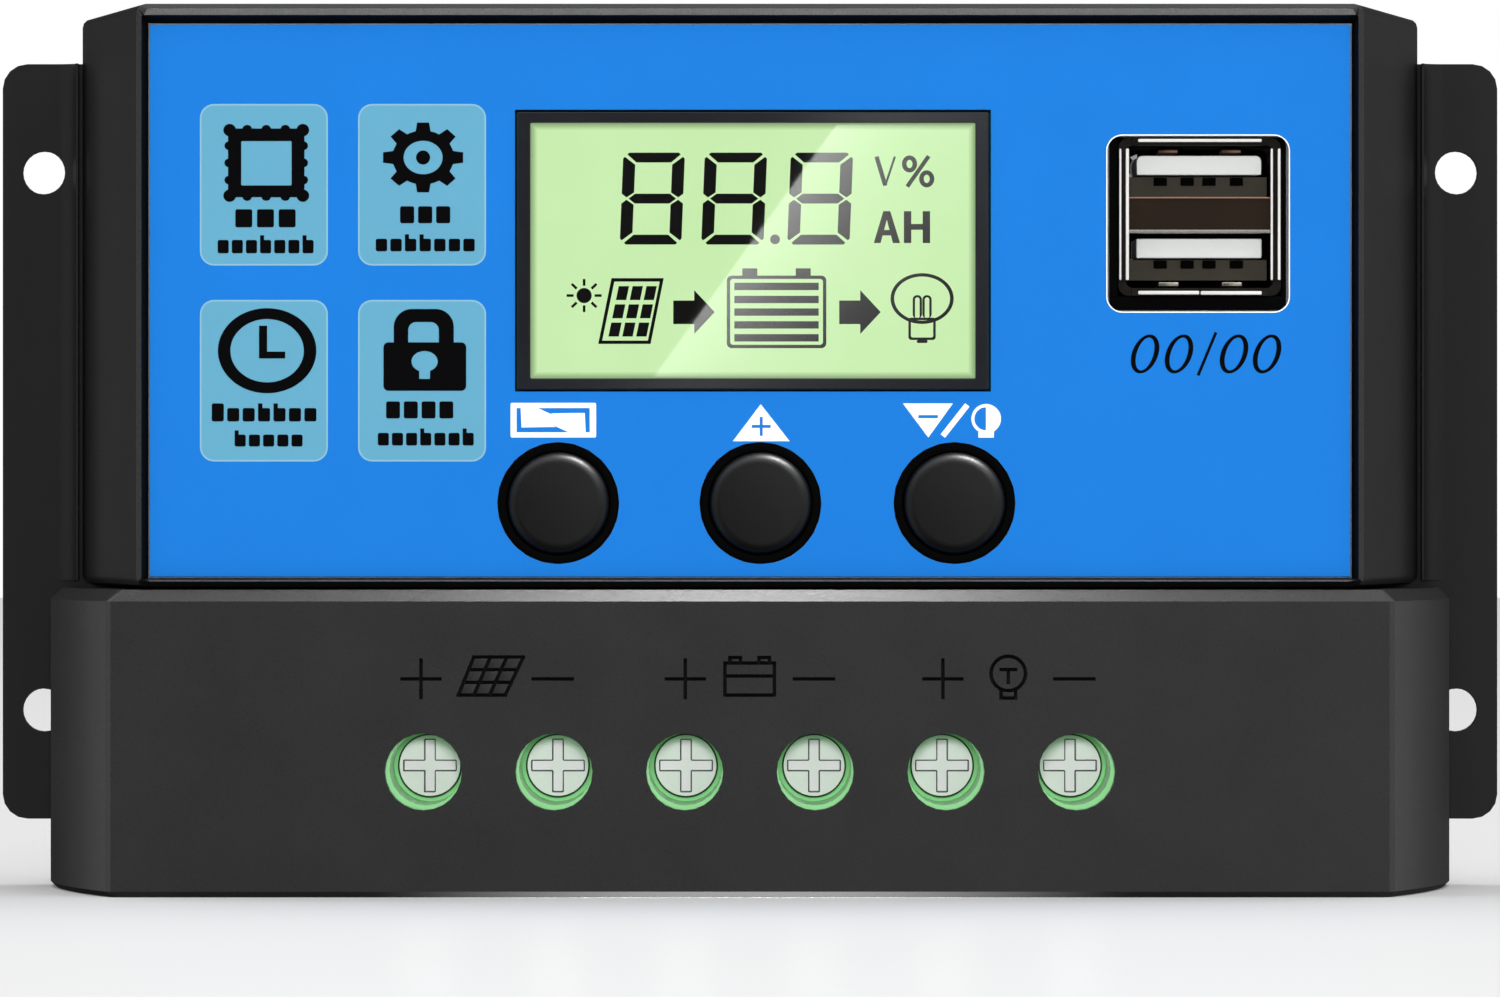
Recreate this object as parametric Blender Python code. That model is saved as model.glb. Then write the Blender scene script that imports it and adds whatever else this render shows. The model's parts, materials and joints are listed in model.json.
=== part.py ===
"""Solar charge controller: two plastic covers on an aluminium mounting plate, with an LCD, three push
buttons, a double USB socket and a six-pole terminal block.

Run with: blender --background --python part.py
Metres in Blender, +Z up. The object stands on the flat underside of the terminal cover, its front
faces -Y and its mounting plate is at +Y. The origin is the middle of the underside.
All sizes below are in millimetres.
"""

import math

import bmesh
import bpy

MM = 0.001

# Overall
EAR_HALF_WIDTH = 66.75
HEIGHT = 77.3
FRONT = -17.5
BACK = 17.5
WALL = 2.0
GAP = 0.3
TIGHT = 0.1

# Mounting plate, which is also the heat sink
PLATE_FRONT = 15.5
SLAB_FRONT = 13.5
EAR_BOTTOM = 5.9
EAR_TOP = 73.3
EAR_CORNER = 2.2
MOUNT_HOLE_RADIUS = 1.92
MOUNT_HOLE_X = 63.1
MOUNT_HOLE_Z = (15.6, 63.6)
RIDGE_INNER_X = 59.9
RIDGE_RADIUS = 1.9
GROOVE_WIDTH = 3.0
GROOVE_DEPTH = 1.2
GROOVE_PITCH = 12.0
GROOVES = 7

# Covers
COVER_BACK = PLATE_FRONT - GAP
SPLIT_Z = 26.9
DISPLAY_HALF_FRONT = 53.0
DISPLAY_HALF_BACK = 59.6
TERMINAL_HALF_FRONT = 55.8
TERMINAL_HALF_BACK = 62.4
TERMINAL_TOP = SPLIT_Z - GAP
SIDE_BULGE = 1.7
TOP_CHAMFER = 1.0
LOW_CHAMFER = 0.5
CORNER = 0.8
RIM_BEVEL = 0.4
SEAT_FACE = -16.2
PANEL_BACK = SEAT_FACE + WALL

SLAB_HALF_WIDTH = DISPLAY_HALF_BACK - WALL - 0.5

# Label
LABEL_HALF_WIDTH = 51.95
LABEL_BOTTOM = 27.75
LABEL_TOP = 75.5
LABEL_FRONT = -16.6
LABEL_BACK = SEAT_FACE - TIGHT

# LCD
LCD_X = 0.25
LCD_Z = 55.95
LCD_FRAME_WIDTH = 40.8
LCD_FRAME_HEIGHT = 24.0
LCD_VIEW_WIDTH = 38.5
LCD_VIEW_HEIGHT = 22.1
LCD_CELL_WIDTH = 39.1
LCD_CELL_HEIGHT = 22.3

# Push buttons
BUTTONS = {"menu": -16.6, "up": 0.9, "down": 17.7}
BUTTON_Z = 34.1
BUTTON_RADIUS = 4.25
BUTTON_TOP = -17.3
BUTTON_DOME = 1.0
BUTTON_FLANGE_RADIUS = 5.0
BUTTON_LABEL_HOLE = 5.3
BUTTON_PANEL_HOLE = 4.6

# USB socket
USB_X = 38.95
USB_Z = 58.9
USB_WIDTH = 14.1
USB_HEIGHT = 13.7
USB_WALL = 0.45
USB_FRONT = -16.3
USB_CUTOUT_X = 38.75
USB_CUTOUT_Z = 58.3
USB_CUTOUT_WIDTH = 15.9
USB_CUTOUT_HEIGHT = 15.4
USB_CUTOUT_CORNER = 1.3
USB_DIVIDER = (57.5, 60.6)
TONGUE_WIDTH = 10.9
TONGUE_THICKNESS = 1.7
TONGUES = {"upper": 63.4, "lower": 56.2}

# Boards
DISPLAY_BOARD = (-8.0, -6.4)
DISPLAY_BOARD_X = (-45.3, 30.0)
DISPLAY_BOARD_Z = (29.4, 74.0)
DISPLAY_POSTS_X = (-43.0, 27.0)
DISPLAY_POSTS_Z = (31.9, 71.5)
MAIN_BOARD = (9.0, 10.6)
MAIN_BOARD_HALF_WIDTH = 47.5
MAIN_BOARD_Z = (3.0, 56.0)
BOARD_SCREW_X = 44.0
BOARD_SCREW_Z = 40.0

# Screws that hold the case together, from the back
DISPLAY_SCREW = (49.0, 70.8)
TERMINAL_SCREW = (51.5, 9.5)
BOSS_RADIUS = 3.2
SCREW_SHANK = 1.4
SCREW_HEAD = 2.6
SCREW_HOLE = 1.7
PILOT_END = 2.0

# Terminal block
POLES = ("solar_plus", "solar_minus", "battery_plus", "battery_minus", "load_plus", "load_minus")
POLE_PITCH = 11.22
POLE_Z = 11.1
COVER_HOLE_PITCH = 11.3
COVER_HOLE_Z = 10.85
COVER_HOLE_RADIUS = 3.33
WELL_RADIUS = 3.2
BLOCK_HALF_WIDTH = 34.4
BLOCK_Z = (2.3, 18.3)
BLOCK_FRONT = -15.2
BLOCK_BACK = 8.7
WELL_FLOOR = -2.5
CAVITY_FRONT = -1.6
CAVITY_BACK = 8.0
CAVITY_Z = (5.5, 16.8)
HEAD_RADIUS = 2.8
HEAD_FRONT = -4.1
SHANK_RADIUS = 1.9
SHANK_END = 2.2
CAGE_Y = (1.0, 7.9)
CAGE_Z = (7.2, 14.5)
CAGE_HALF_WIDTH = 4.1
WIRE_HALF_WIDTH = 3.3
WIRE_Y = (2.9, 7.3)

# Power transistors on the plate
TRANSISTORS_X = (-29.0, -17.0, 7.0, 19.0)
CLAMP_BAR_SCREW_X = -5.0
TRANSISTOR_BACK = 13.0
TRANSISTOR_BODY_Z = (59.5, 68.7)
CLAMP_BAR_Z = 64.0

ROUND = 24
SMALL_ROUND = 12


# ---- outlines -------------------------------------------------------------------------------------

def rectangle(u0, u1, v0, v1):
    return [(u0, v0), (u1, v0), (u1, v1), (u0, v1)]


def centred(u, v, width, height):
    return rectangle(u - width / 2, u + width / 2, v - height / 2, v + height / 2)


def arc(u, v, radius, start, end, steps):
    """Points on an arc, with its angles in degrees."""
    angles = [math.radians(start + (end - start) * step / steps) for step in range(steps + 1)]
    return [(u + radius * math.cos(a), v + radius * math.sin(a)) for a in angles]


def circle(u, v, radius, segments=ROUND):
    return arc(u, v, radius, 0, 360, segments)[:-1]


def rounded(u0, u1, v0, v1, radius, steps=3):
    corners = ((u0, v0, 1, 1, 180), (u1, v0, -1, 1, 270), (u1, v1, -1, -1, 0), (u0, v1, 1, -1, 90))
    points = []
    for u, v, side_u, side_v, start in corners:
        points += arc(u + side_u * radius, v + side_v * radius, radius, start, start + 90, steps)
    return points


def mirrored(points):
    """The outline completed by its mirror image across u = 0."""
    return points + [(-u, v) for u, v in reversed(points)]


# ---- shapes: (vertices, faces) --------------------------------------------------------------------

def loft(rings):
    """A closed solid through rings of the same number of points."""
    count = len(rings[0])
    vertices = [point for ring in rings for point in ring]
    faces = [tuple(reversed(range(count))), tuple(range(len(vertices) - count, len(vertices)))]
    for level in range(len(rings) - 1):
        low = level * count
        for i in range(count):
            j = (i + 1) % count
            faces.append((low + i, low + j, low + count + j, low + count + i))
    return vertices, faces


def ring_y(outline, y):
    return [(u, y, v) for u, v in outline]


def along_y(outline, y0, y1):
    return loft([ring_y(outline, y0), ring_y(outline, y1)])


def along_z(outline, z0, z1):
    return loft([[(u, v, z) for u, v in outline] for z in (z0, z1)])


def block(x0, x1, y0, y1, z0, z1):
    return along_y(rectangle(x0, x1, z0, z1), y0, y1)


def turned(x, z, profile, segments=ROUND):
    """A solid of revolution about a line along Y; the profile is a list of (radius, y)."""
    return loft([ring_y(circle(x, z, radius, segments), y) for radius, y in profile])


def together(shapes):
    """Several separate shapes in one mesh."""
    vertices, faces = [], []
    for shape_vertices, shape_faces in shapes:
        start = len(vertices)
        vertices += shape_vertices
        faces += [tuple(start + i for i in face) for face in shape_faces]
    return vertices, faces


# ---- objects --------------------------------------------------------------------------------------

def finish(name, colour, roughness, metallic=0.0):
    material = bpy.data.materials.new(name)
    material.use_nodes = True
    shader = material.node_tree.nodes["Principled BSDF"]
    shader.inputs["Base Color"].default_value = (*colour, 1.0)
    shader.inputs["Roughness"].default_value = roughness
    shader.inputs["Metallic"].default_value = metallic
    material.diffuse_color = (*colour, 1.0)
    return material


def mesh_object(name, shape, origin=(0.0, 0.0, 0.0)):
    vertices, faces = shape
    mesh = bpy.data.meshes.new(name)
    moved = [tuple((p - o) * MM for p, o in zip(vertex, origin)) for vertex in vertices]
    mesh.from_pydata(moved, [], faces)
    shell = bmesh.new()
    shell.from_mesh(mesh)
    bmesh.ops.recalc_face_normals(shell, faces=shell.faces)
    shell.to_mesh(mesh)
    shell.free()
    mesh.shade_smooth()
    mesh.set_sharp_from_angle(angle=math.radians(35))
    item = bpy.data.objects.new(name, mesh)
    item.location = [value * MM for value in origin]
    bpy.context.scene.collection.objects.link(item)
    return item


def combine(piece, operation, shape, number):
    """Adds or takes away a shape with a Boolean; the shape stays in the file as a guide."""
    guide = mesh_object(f"{piece.name}_{operation.lower()}_{number}", shape)
    guide.hide_render = True
    guide.display_type = "WIRE"
    boolean = piece.modifiers.new(f"{operation.lower()}_{number}", "BOOLEAN")
    boolean.operation = operation
    boolean.solver = "EXACT"
    boolean.object = guide


def piece(name, shape, material, add=(), cut=(), origin=(0.0, 0.0, 0.0)):
    """One named sub-part: its first shape, then shapes added to it, then shapes cut from it."""
    item = mesh_object(name, shape, origin)
    item.data.materials.append(material)
    for number, extra in enumerate(add, 1):
        combine(item, "UNION", extra, number)
    for number, cutter in enumerate(cut, 1):
        combine(item, "DIFFERENCE", cutter, number)
    return item


def pole_x(number):
    return (number - (len(POLES) - 1) / 2) * POLE_PITCH


def at_poles(make):
    return together([make(pole_x(number)) for number in range(len(POLES))])


# ---- housing --------------------------------------------------------------------------------------

def passage(z0, z1):
    """The notch in a cover's inner wall that the main board and the plate's slab pass through."""
    board_half = MAIN_BOARD_HALF_WIDTH + 2.5
    slab_half = SLAB_HALF_WIDTH + GAP
    behind = COVER_BACK + 1
    step = SLAB_FRONT - GAP
    half = [(board_half, 7.5), (board_half, step), (slab_half, step), (slab_half, behind)]
    return along_z(mirrored(half), z0, z1)


def mounting_plate(material):
    """An aluminium extrusion: ears, a ridge beside the cover, a raised slab inside, grooves behind."""
    corner = EAR_HALF_WIDTH - EAR_CORNER
    half = [(TERMINAL_HALF_BACK - GAP, GAP), (TERMINAL_HALF_BACK - GAP, EAR_BOTTOM)]
    half += arc(corner, EAR_BOTTOM + EAR_CORNER, EAR_CORNER, 270, 360, 4)
    half += arc(corner, EAR_TOP - EAR_CORNER, EAR_CORNER, 0, 90, 4)
    half += [(DISPLAY_HALF_BACK - GAP, EAR_TOP), (DISPLAY_HALF_BACK - GAP, HEIGHT - GAP)]
    plate = along_y(mirrored(half), PLATE_FRONT, BACK)

    slab_z = (WALL + GAP, HEIGHT - WALL - GAP)
    slab = block(-SLAB_HALF_WIDTH, SLAB_HALF_WIDTH, SLAB_FRONT, PLATE_FRONT + 0.5, *slab_z)
    ridge_crest = PLATE_FRONT - RIDGE_RADIUS
    ridge_foot = RIDGE_INNER_X + 0.2 + RIDGE_RADIUS
    profile = [(RIDGE_INNER_X, PLATE_FRONT + 0.5), (RIDGE_INNER_X, ridge_crest)]
    profile += arc(ridge_foot, ridge_crest, RIDGE_RADIUS, 180, 90, 5)
    profile += [(ridge_foot, PLATE_FRONT + 0.5)]
    ridge = along_z(profile, SPLIT_Z + GAP, EAR_TOP)
    other_ridge = along_z([(-x, y) for x, y in profile], SPLIT_Z + GAP, EAR_TOP)
    post_span = (MAIN_BOARD[1] + GAP, SLAB_FRONT + 0.5)
    post_x = (-BOARD_SCREW_X, BOARD_SCREW_X)
    posts = [along_y(circle(x, BOARD_SCREW_Z, 2.6, SMALL_ROUND), *post_span) for x in post_x]

    ear_holes = [
        along_y(circle(side * MOUNT_HOLE_X, z, MOUNT_HOLE_RADIUS), PLATE_FRONT - 1, BACK + 1)
        for side in (-1, 1)
        for z in MOUNT_HOLE_Z
    ]
    screw_places = [(side * x, z) for side in (-1, 1) for x, z in (DISPLAY_SCREW, TERMINAL_SCREW)]
    through = (SLAB_FRONT - 1, BACK - 1.5)
    screw_holes = [along_y(circle(x, z, SCREW_HOLE, SMALL_ROUND), *through) for x, z in screw_places]
    head_wells = [along_y(circle(x, z, SCREW_HEAD + GAP), BACK - 1.9, BACK + 1) for x, z in screw_places]
    tapped = [(side * BOARD_SCREW_X, BOARD_SCREW_Z) for side in (-1, 1)]
    tapped.append((CLAMP_BAR_SCREW_X, CLAMP_BAR_Z))
    blind = (MAIN_BOARD[1], PLATE_FRONT - 0.2)
    tapped_holes = [along_y(circle(x, z, SCREW_HOLE, SMALL_ROUND), *blind) for x, z in tapped]
    grooves = []
    for number in range(GROOVES):
        x = (number - (GROOVES - 1) / 2) * GROOVE_PITCH
        sides = (x - GROOVE_WIDTH / 2, x + GROOVE_WIDTH / 2)
        grooves.append(block(*sides, BACK - GROOVE_DEPTH, BACK + 1, -1, HEIGHT + 1))
    piece(
        "mounting_plate", plate, material,
        add=(slab, together([ridge, other_ridge] + posts)),
        cut=(together(ear_holes + screw_holes), together(head_wells + tapped_holes + grooves)),
    )


def display_half_width(y):
    """The display cover's outer half width at depth y."""
    share = (y - FRONT) / (COVER_BACK - FRONT)
    return DISPLAY_HALF_FRONT + share * (DISPLAY_HALF_BACK - DISPLAY_HALF_FRONT)


def display_outline(y, inset, corner):
    half = display_half_width(y) - inset
    return ring_y(rounded(-half, half, SPLIT_Z + inset, HEIGHT - inset, corner), y)


def display_cover(material):
    rim = FRONT + RIM_BEVEL
    outer = loft([
        display_outline(FRONT, RIM_BEVEL, CORNER),
        display_outline(rim, 0.0, CORNER),
        display_outline(COVER_BACK, 0.0, CORNER),
    ])
    inner = loft([
        display_outline(PANEL_BACK, WALL, 0.4),
        display_outline(COVER_BACK + 0.2, WALL, 0.4),
    ])
    seat_floor = ring_y(rectangle(-52.1, 52.1, LABEL_BOTTOM - 0.15, LABEL_TOP + 0.15), SEAT_FACE)
    seat_mouth = ring_y(rectangle(-52.65, 52.65, SPLIT_Z + 0.55, HEIGHT - 0.7), FRONT)
    seat_above = ring_y(rectangle(-52.65, 52.65, SPLIT_Z + 0.55, HEIGHT - 0.7), FRONT - 1)
    seat = loft([seat_floor, seat_mouth, seat_above])
    board_notch = passage(SPLIT_Z - 1, SPLIT_Z + WALL + 1)

    panel = (SEAT_FACE - 1, PANEL_BACK + 1)
    windows = [
        along_y(centred(LCD_X, LCD_Z, LCD_FRAME_WIDTH + 0.5, LCD_FRAME_HEIGHT + 0.5), *panel),
        along_y(
            centred(USB_CUTOUT_X, USB_CUTOUT_Z, USB_CUTOUT_WIDTH - 0.6, USB_CUTOUT_HEIGHT - 0.4), *panel
        ),
    ]
    windows += [along_y(circle(x, BUTTON_Z, BUTTON_PANEL_HOLE), *panel) for x in BUTTONS.values()]

    screw_x, screw_z = DISPLAY_SCREW
    boss_span = (PANEL_BACK - 0.5, SLAB_FRONT - GAP)
    bosses = [along_y(circle(x, screw_z, BOSS_RADIUS), *boss_span) for x in (-screw_x, screw_x)]
    board_front, board_back = DISPLAY_BOARD
    shoulder = board_front - GAP
    post = [(2.0, PANEL_BACK - 0.5), (2.0, shoulder), (0.8, shoulder), (0.8, board_back + 0.6)]
    posts = [turned(x, z, post, SMALL_ROUND) for x in DISPLAY_POSTS_X for z in DISPLAY_POSTS_Z]
    pilot = (SCREW_HOLE, SMALL_ROUND)
    pilot_holes = [along_y(circle(x, screw_z, *pilot), PILOT_END, SLAB_FRONT) for x in (-screw_x, screw_x)]
    cover = piece("display_cover", outer, material)
    combine(cover, "DIFFERENCE", inner, 1)
    combine(cover, "UNION", together(bosses + posts), 2)
    combine(cover, "DIFFERENCE", together([seat, board_notch]), 3)
    combine(cover, "DIFFERENCE", together(windows + pilot_holes), 4)


def terminal_outline(inset, back):
    """Plan of the terminal cover: a flat front and sides that curve out towards the plate."""
    half_front = TERMINAL_HALF_FRONT - inset
    spread = TERMINAL_HALF_BACK - TERMINAL_HALF_FRONT
    front = FRONT + inset
    bevel = 0.5
    steps = 8
    half = [(half_front - bevel, front)]
    for step in range(steps + 1):
        share = step / steps
        x = half_front + spread * (1 - (1 - share) ** SIDE_BULGE)
        half.append((x, front + bevel + (back - front - bevel) * share))
    return mirrored(half)


def terminal_ring(z, inset, back=COVER_BACK):
    return [(x, y, z) for x, y in terminal_outline(inset, back)]


def terminal_cover(material):
    outer = loft([
        terminal_ring(0.0, LOW_CHAMFER),
        terminal_ring(LOW_CHAMFER, 0.0),
        terminal_ring(TERMINAL_TOP - TOP_CHAMFER, 0.0),
        terminal_ring(TERMINAL_TOP, TOP_CHAMFER),
    ])
    cavity_back = COVER_BACK + 0.5
    inner = loft([
        terminal_ring(WALL, WALL, cavity_back),
        terminal_ring(TERMINAL_TOP - WALL, WALL, cavity_back),
    ])
    board_notch = passage(TERMINAL_TOP - WALL - 1, TERMINAL_TOP + 1)
    wall_span = (FRONT - 1, FRONT + WALL + 1)
    hole_x = [pole_x(number) / POLE_PITCH * COVER_HOLE_PITCH for number in range(len(POLES))]
    hole = (COVER_HOLE_Z, COVER_HOLE_RADIUS)
    driver_holes = together([along_y(circle(x, *hole), *wall_span) for x in hole_x])
    wire_y = (WIRE_Y[0] - 0.5, WIRE_Y[1] + 0.5)
    half = WIRE_HALF_WIDTH + 0.4
    wire_holes = at_poles(lambda x: along_z(rounded(x - half, x + half, *wire_y, 0.8, 2), -1, WALL + 0.5))
    screw_x, screw_z = TERMINAL_SCREW
    boss_span = (FRONT + WALL - 0.5, SLAB_FRONT - GAP)
    bosses = [along_y(circle(x, screw_z, BOSS_RADIUS), *boss_span) for x in (-screw_x, screw_x)]
    pilot = (SCREW_HOLE, SMALL_ROUND)
    pilot_holes = [along_y(circle(x, screw_z, *pilot), PILOT_END, SLAB_FRONT) for x in (-screw_x, screw_x)]
    cover = piece("terminal_cover", outer, material)
    combine(cover, "DIFFERENCE", inner, 1)
    combine(cover, "UNION", together(bosses), 2)
    combine(cover, "DIFFERENCE", together([board_notch, driver_holes, wire_holes] + pilot_holes), 3)


def front_label(material):
    outline = rectangle(-LABEL_HALF_WIDTH, LABEL_HALF_WIDTH, LABEL_BOTTOM, LABEL_TOP)
    sheet = along_y(outline, LABEL_FRONT, LABEL_BACK)
    through = (LABEL_FRONT - 1, LABEL_BACK + 1)
    usb_u = (USB_CUTOUT_X - USB_CUTOUT_WIDTH / 2, USB_CUTOUT_X + USB_CUTOUT_WIDTH / 2)
    usb_v = (USB_CUTOUT_Z - USB_CUTOUT_HEIGHT / 2, USB_CUTOUT_Z + USB_CUTOUT_HEIGHT / 2)
    windows = [
        along_y(centred(LCD_X, LCD_Z, LCD_FRAME_WIDTH + 0.4, LCD_FRAME_HEIGHT + 0.4), *through),
        along_y(rounded(*usb_u, *usb_v, USB_CUTOUT_CORNER), *through),
    ]
    windows += [along_y(circle(x, BUTTON_Z, BUTTON_LABEL_HOLE), *through) for x in BUTTONS.values()]
    piece("front_label", sheet, material, cut=(together(windows),))


def case_screws(material):
    """Four pan-head screws, sunk in wells in the back of the plate."""
    seat = BACK - 1.8
    profile = [(SCREW_HEAD, BACK - 0.5), (SCREW_HEAD, seat), (SCREW_SHANK, seat)]
    profile += [(SCREW_SHANK, 4.0), (0.5, 3.0)]
    places = {"display_cover": DISPLAY_SCREW, "terminal_cover": TERMINAL_SCREW}
    for cover, (distance, z) in places.items():
        for side_name, x in (("left", -distance), ("right", distance)):
            across = block(x - 1.6, x + 1.6, BACK - 1.2, BACK, z - 0.35, z + 0.35)
            upright = block(x - 0.35, x + 0.35, BACK - 1.2, BACK, z - 1.6, z + 1.6)
            piece(f"{cover}_screw_{side_name}", turned(x, z, profile, 16), material, cut=(across, upright))


# ---- LCD ------------------------------------------------------------------------------------------

def lcd(frame_material, window_material, glass_material, light_material, pin_material):
    frame_front = -16.9
    step = -15.6
    board_front = DISPLAY_BOARD[0]
    frame_outline = centred(LCD_X, LCD_Z, LCD_FRAME_WIDTH, LCD_FRAME_HEIGHT)
    frame = along_y(frame_outline, frame_front, board_front - GAP)
    view = along_y(centred(LCD_X, LCD_Z, LCD_VIEW_WIDTH, LCD_VIEW_HEIGHT), frame_front - 1, step + 0.5)
    cell = centred(LCD_X, LCD_Z, LCD_CELL_WIDTH + 0.4, LCD_CELL_HEIGHT + 0.4)
    inside = along_y(cell, step, board_front + 1)
    piece("lcd_frame", frame, frame_material, cut=(view, inside))
    window_outline = centred(LCD_X, LCD_Z, LCD_VIEW_WIDTH - 0.3, LCD_VIEW_HEIGHT - 0.3)
    window = along_y(window_outline, -16.5, -15.7)
    piece("lcd_window", window, window_material)
    cell = along_y(centred(LCD_X, LCD_Z, LCD_CELL_WIDTH, LCD_CELL_HEIGHT), -15.4, -13.2)
    piece("lcd_glass", cell, glass_material)
    light_bottom = LCD_Z - LCD_CELL_HEIGHT / 2 + 2.0
    light_sides = (LCD_X - LCD_CELL_WIDTH / 2, LCD_X + LCD_CELL_WIDTH / 2)
    light = block(*light_sides, -13.1, -9.5, light_bottom, LCD_Z + LCD_CELL_HEIGHT / 2)
    piece("lcd_backlight", light, light_material)
    strip_low = LCD_Z - LCD_CELL_HEIGHT / 2 + 0.2
    strip = block(LCD_X - 17, LCD_X + 17, -11.0, -10.0, strip_low, strip_low + 1.5)
    pin_z = strip_low + 0.75
    pin_span = (-13.1, board_front - TIGHT, pin_z - 0.25, pin_z + 0.25)
    pins = [block(LCD_X + offset - 0.25, LCD_X + offset + 0.25, *pin_span) for offset in range(-15, 16, 5)]
    piece("lcd_pin_strip", strip, pin_material, add=(together(pins),))


# ---- push buttons ---------------------------------------------------------------------------------

def button_profile():
    """A shallow dome, a straight side and a flange that keeps the cap behind the panel."""
    sphere = (BUTTON_RADIUS ** 2 + BUTTON_DOME ** 2) / (2 * BUTTON_DOME)
    radii = [0.3 * BUTTON_RADIUS, 0.6 * BUTTON_RADIUS, 0.82 * BUTTON_RADIUS, 0.94 * BUTTON_RADIUS]
    dome = [(r, BUTTON_TOP + sphere - math.sqrt(sphere ** 2 - r ** 2)) for r in radii]
    flange_front = PANEL_BACK + GAP + TIGHT
    flange_back = flange_front + 1.0
    side = [(BUTTON_RADIUS, BUTTON_TOP + BUTTON_DOME + 0.3), (BUTTON_RADIUS, flange_front)]
    flange = [(BUTTON_FLANGE_RADIUS, flange_front), (BUTTON_FLANGE_RADIUS, flange_back)]
    return dome + side + flange, flange_back


def push_buttons(cap_material, stem_material, body_material):
    profile, cap_back = button_profile()
    board_front = DISPLAY_BOARD[0]
    body_front = board_front - 3.5
    bore_floor = body_front + 1.6
    for name, x in BUTTONS.items():
        axis = (x, 0.0, BUTTON_Z)
        piece(f"{name}_button_cap", turned(x, BUTTON_Z, profile), cap_material, origin=axis)
        stem = turned(x, BUTTON_Z, [(1.7, cap_back + TIGHT), (1.7, bore_floor - 0.8)], 16)
        piece(f"{name}_switch_stem", stem, stem_material, origin=axis)
        body = along_y(centred(x, BUTTON_Z, 6.0, 6.0), body_front, board_front - TIGHT)
        bore = along_y(circle(x, BUTTON_Z, 2.0, 16), body_front - 1, bore_floor)
        piece(f"{name}_switch_body", body, body_material, cut=(bore,))


# ---- boards and what stands on them ---------------------------------------------------------------

def boards(board_material, pin_material):
    display = along_y(rectangle(*DISPLAY_BOARD_X, *DISPLAY_BOARD_Z), *DISPLAY_BOARD)
    post_holes = [
        along_y(circle(x, z, 1.1, SMALL_ROUND), DISPLAY_BOARD[0] - 1, DISPLAY_BOARD[1] + 1)
        for x in DISPLAY_POSTS_X
        for z in DISPLAY_POSTS_Z
    ]
    piece("display_board", display, board_material, cut=(together(post_holes),))
    main_span = (MAIN_BOARD[0] - 1, MAIN_BOARD[1] + 1)
    main = along_y(rectangle(-MAIN_BOARD_HALF_WIDTH, MAIN_BOARD_HALF_WIDTH, *MAIN_BOARD_Z), *MAIN_BOARD)
    screw_x = (-BOARD_SCREW_X, BOARD_SCREW_X)
    screw_holes = [along_y(circle(x, BOARD_SCREW_Z, SCREW_HOLE, SMALL_ROUND), *main_span) for x in screw_x]
    piece("main_board", main, board_material, cut=(together(screw_holes),))
    header_x = -37.0
    header_z = 54.0
    carrier = block(header_x - 1.25, header_x + 1.25, 0.0, 2.5, header_z - 20.5, header_z)
    between = (DISPLAY_BOARD[1] + TIGHT, MAIN_BOARD[0] - TIGHT)
    pin_tops = [header_z - 1.0 - 3.0 * number for number in range(7)]
    pins = [block(header_x - 0.3, header_x + 0.3, *between, top - 0.6, top) for top in pin_tops]
    piece("board_link_header", carrier, pin_material, add=(together(pins),))


def board_parts(can_material, core_material, chip_material, screw_material):
    stand = MAIN_BOARD[0] - TIGHT
    can = [(4.3, stand - 14.0), (5.0, stand - 13.3), (5.0, stand - 2.2)]
    can += [(4.6, stand - 1.8), (5.0, stand - 1.4), (5.0, stand)]
    piece("input_capacitor", turned(-29.0, 37.0, can, 20), can_material)
    drum = [(4.0, stand - 7.0), (4.0, stand - 6.0), (3.0, stand - 6.0)]
    drum += [(3.0, stand - 1.0), (4.0, stand - 1.0), (4.0, stand)]
    piece("usb_inductor", turned(38.0, 43.0, drum, 20), core_material)
    chip_outline = centred(0.0, 40.0, 10.0, 10.0)
    chip_top = centred(0.0, 40.0, 9.5, 9.5)
    shoulder = ring_y(chip_outline, stand - 1.0)
    chip = loft([ring_y(chip_top, stand - 1.5), shoulder, ring_y(chip_outline, stand)])
    piece("controller_chip", chip, chip_material)
    head_back = stand
    profile = [(2.2, head_back - 1.4), (2.6, head_back - 0.9), (2.6, head_back)]
    profile += [(1.3, head_back), (1.3, 15.0)]
    for side_name, x in (("left", -BOARD_SCREW_X), ("right", BOARD_SCREW_X)):
        slot_z = (BOARD_SCREW_Z - 0.35, BOARD_SCREW_Z + 0.35)
        slot = block(x - 3, x + 3, head_back - 2, head_back - 0.8, *slot_z)
        screw = turned(x, BOARD_SCREW_Z, profile, 16)
        piece(f"board_screw_{side_name}", screw, screw_material, cut=(slot,))


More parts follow.
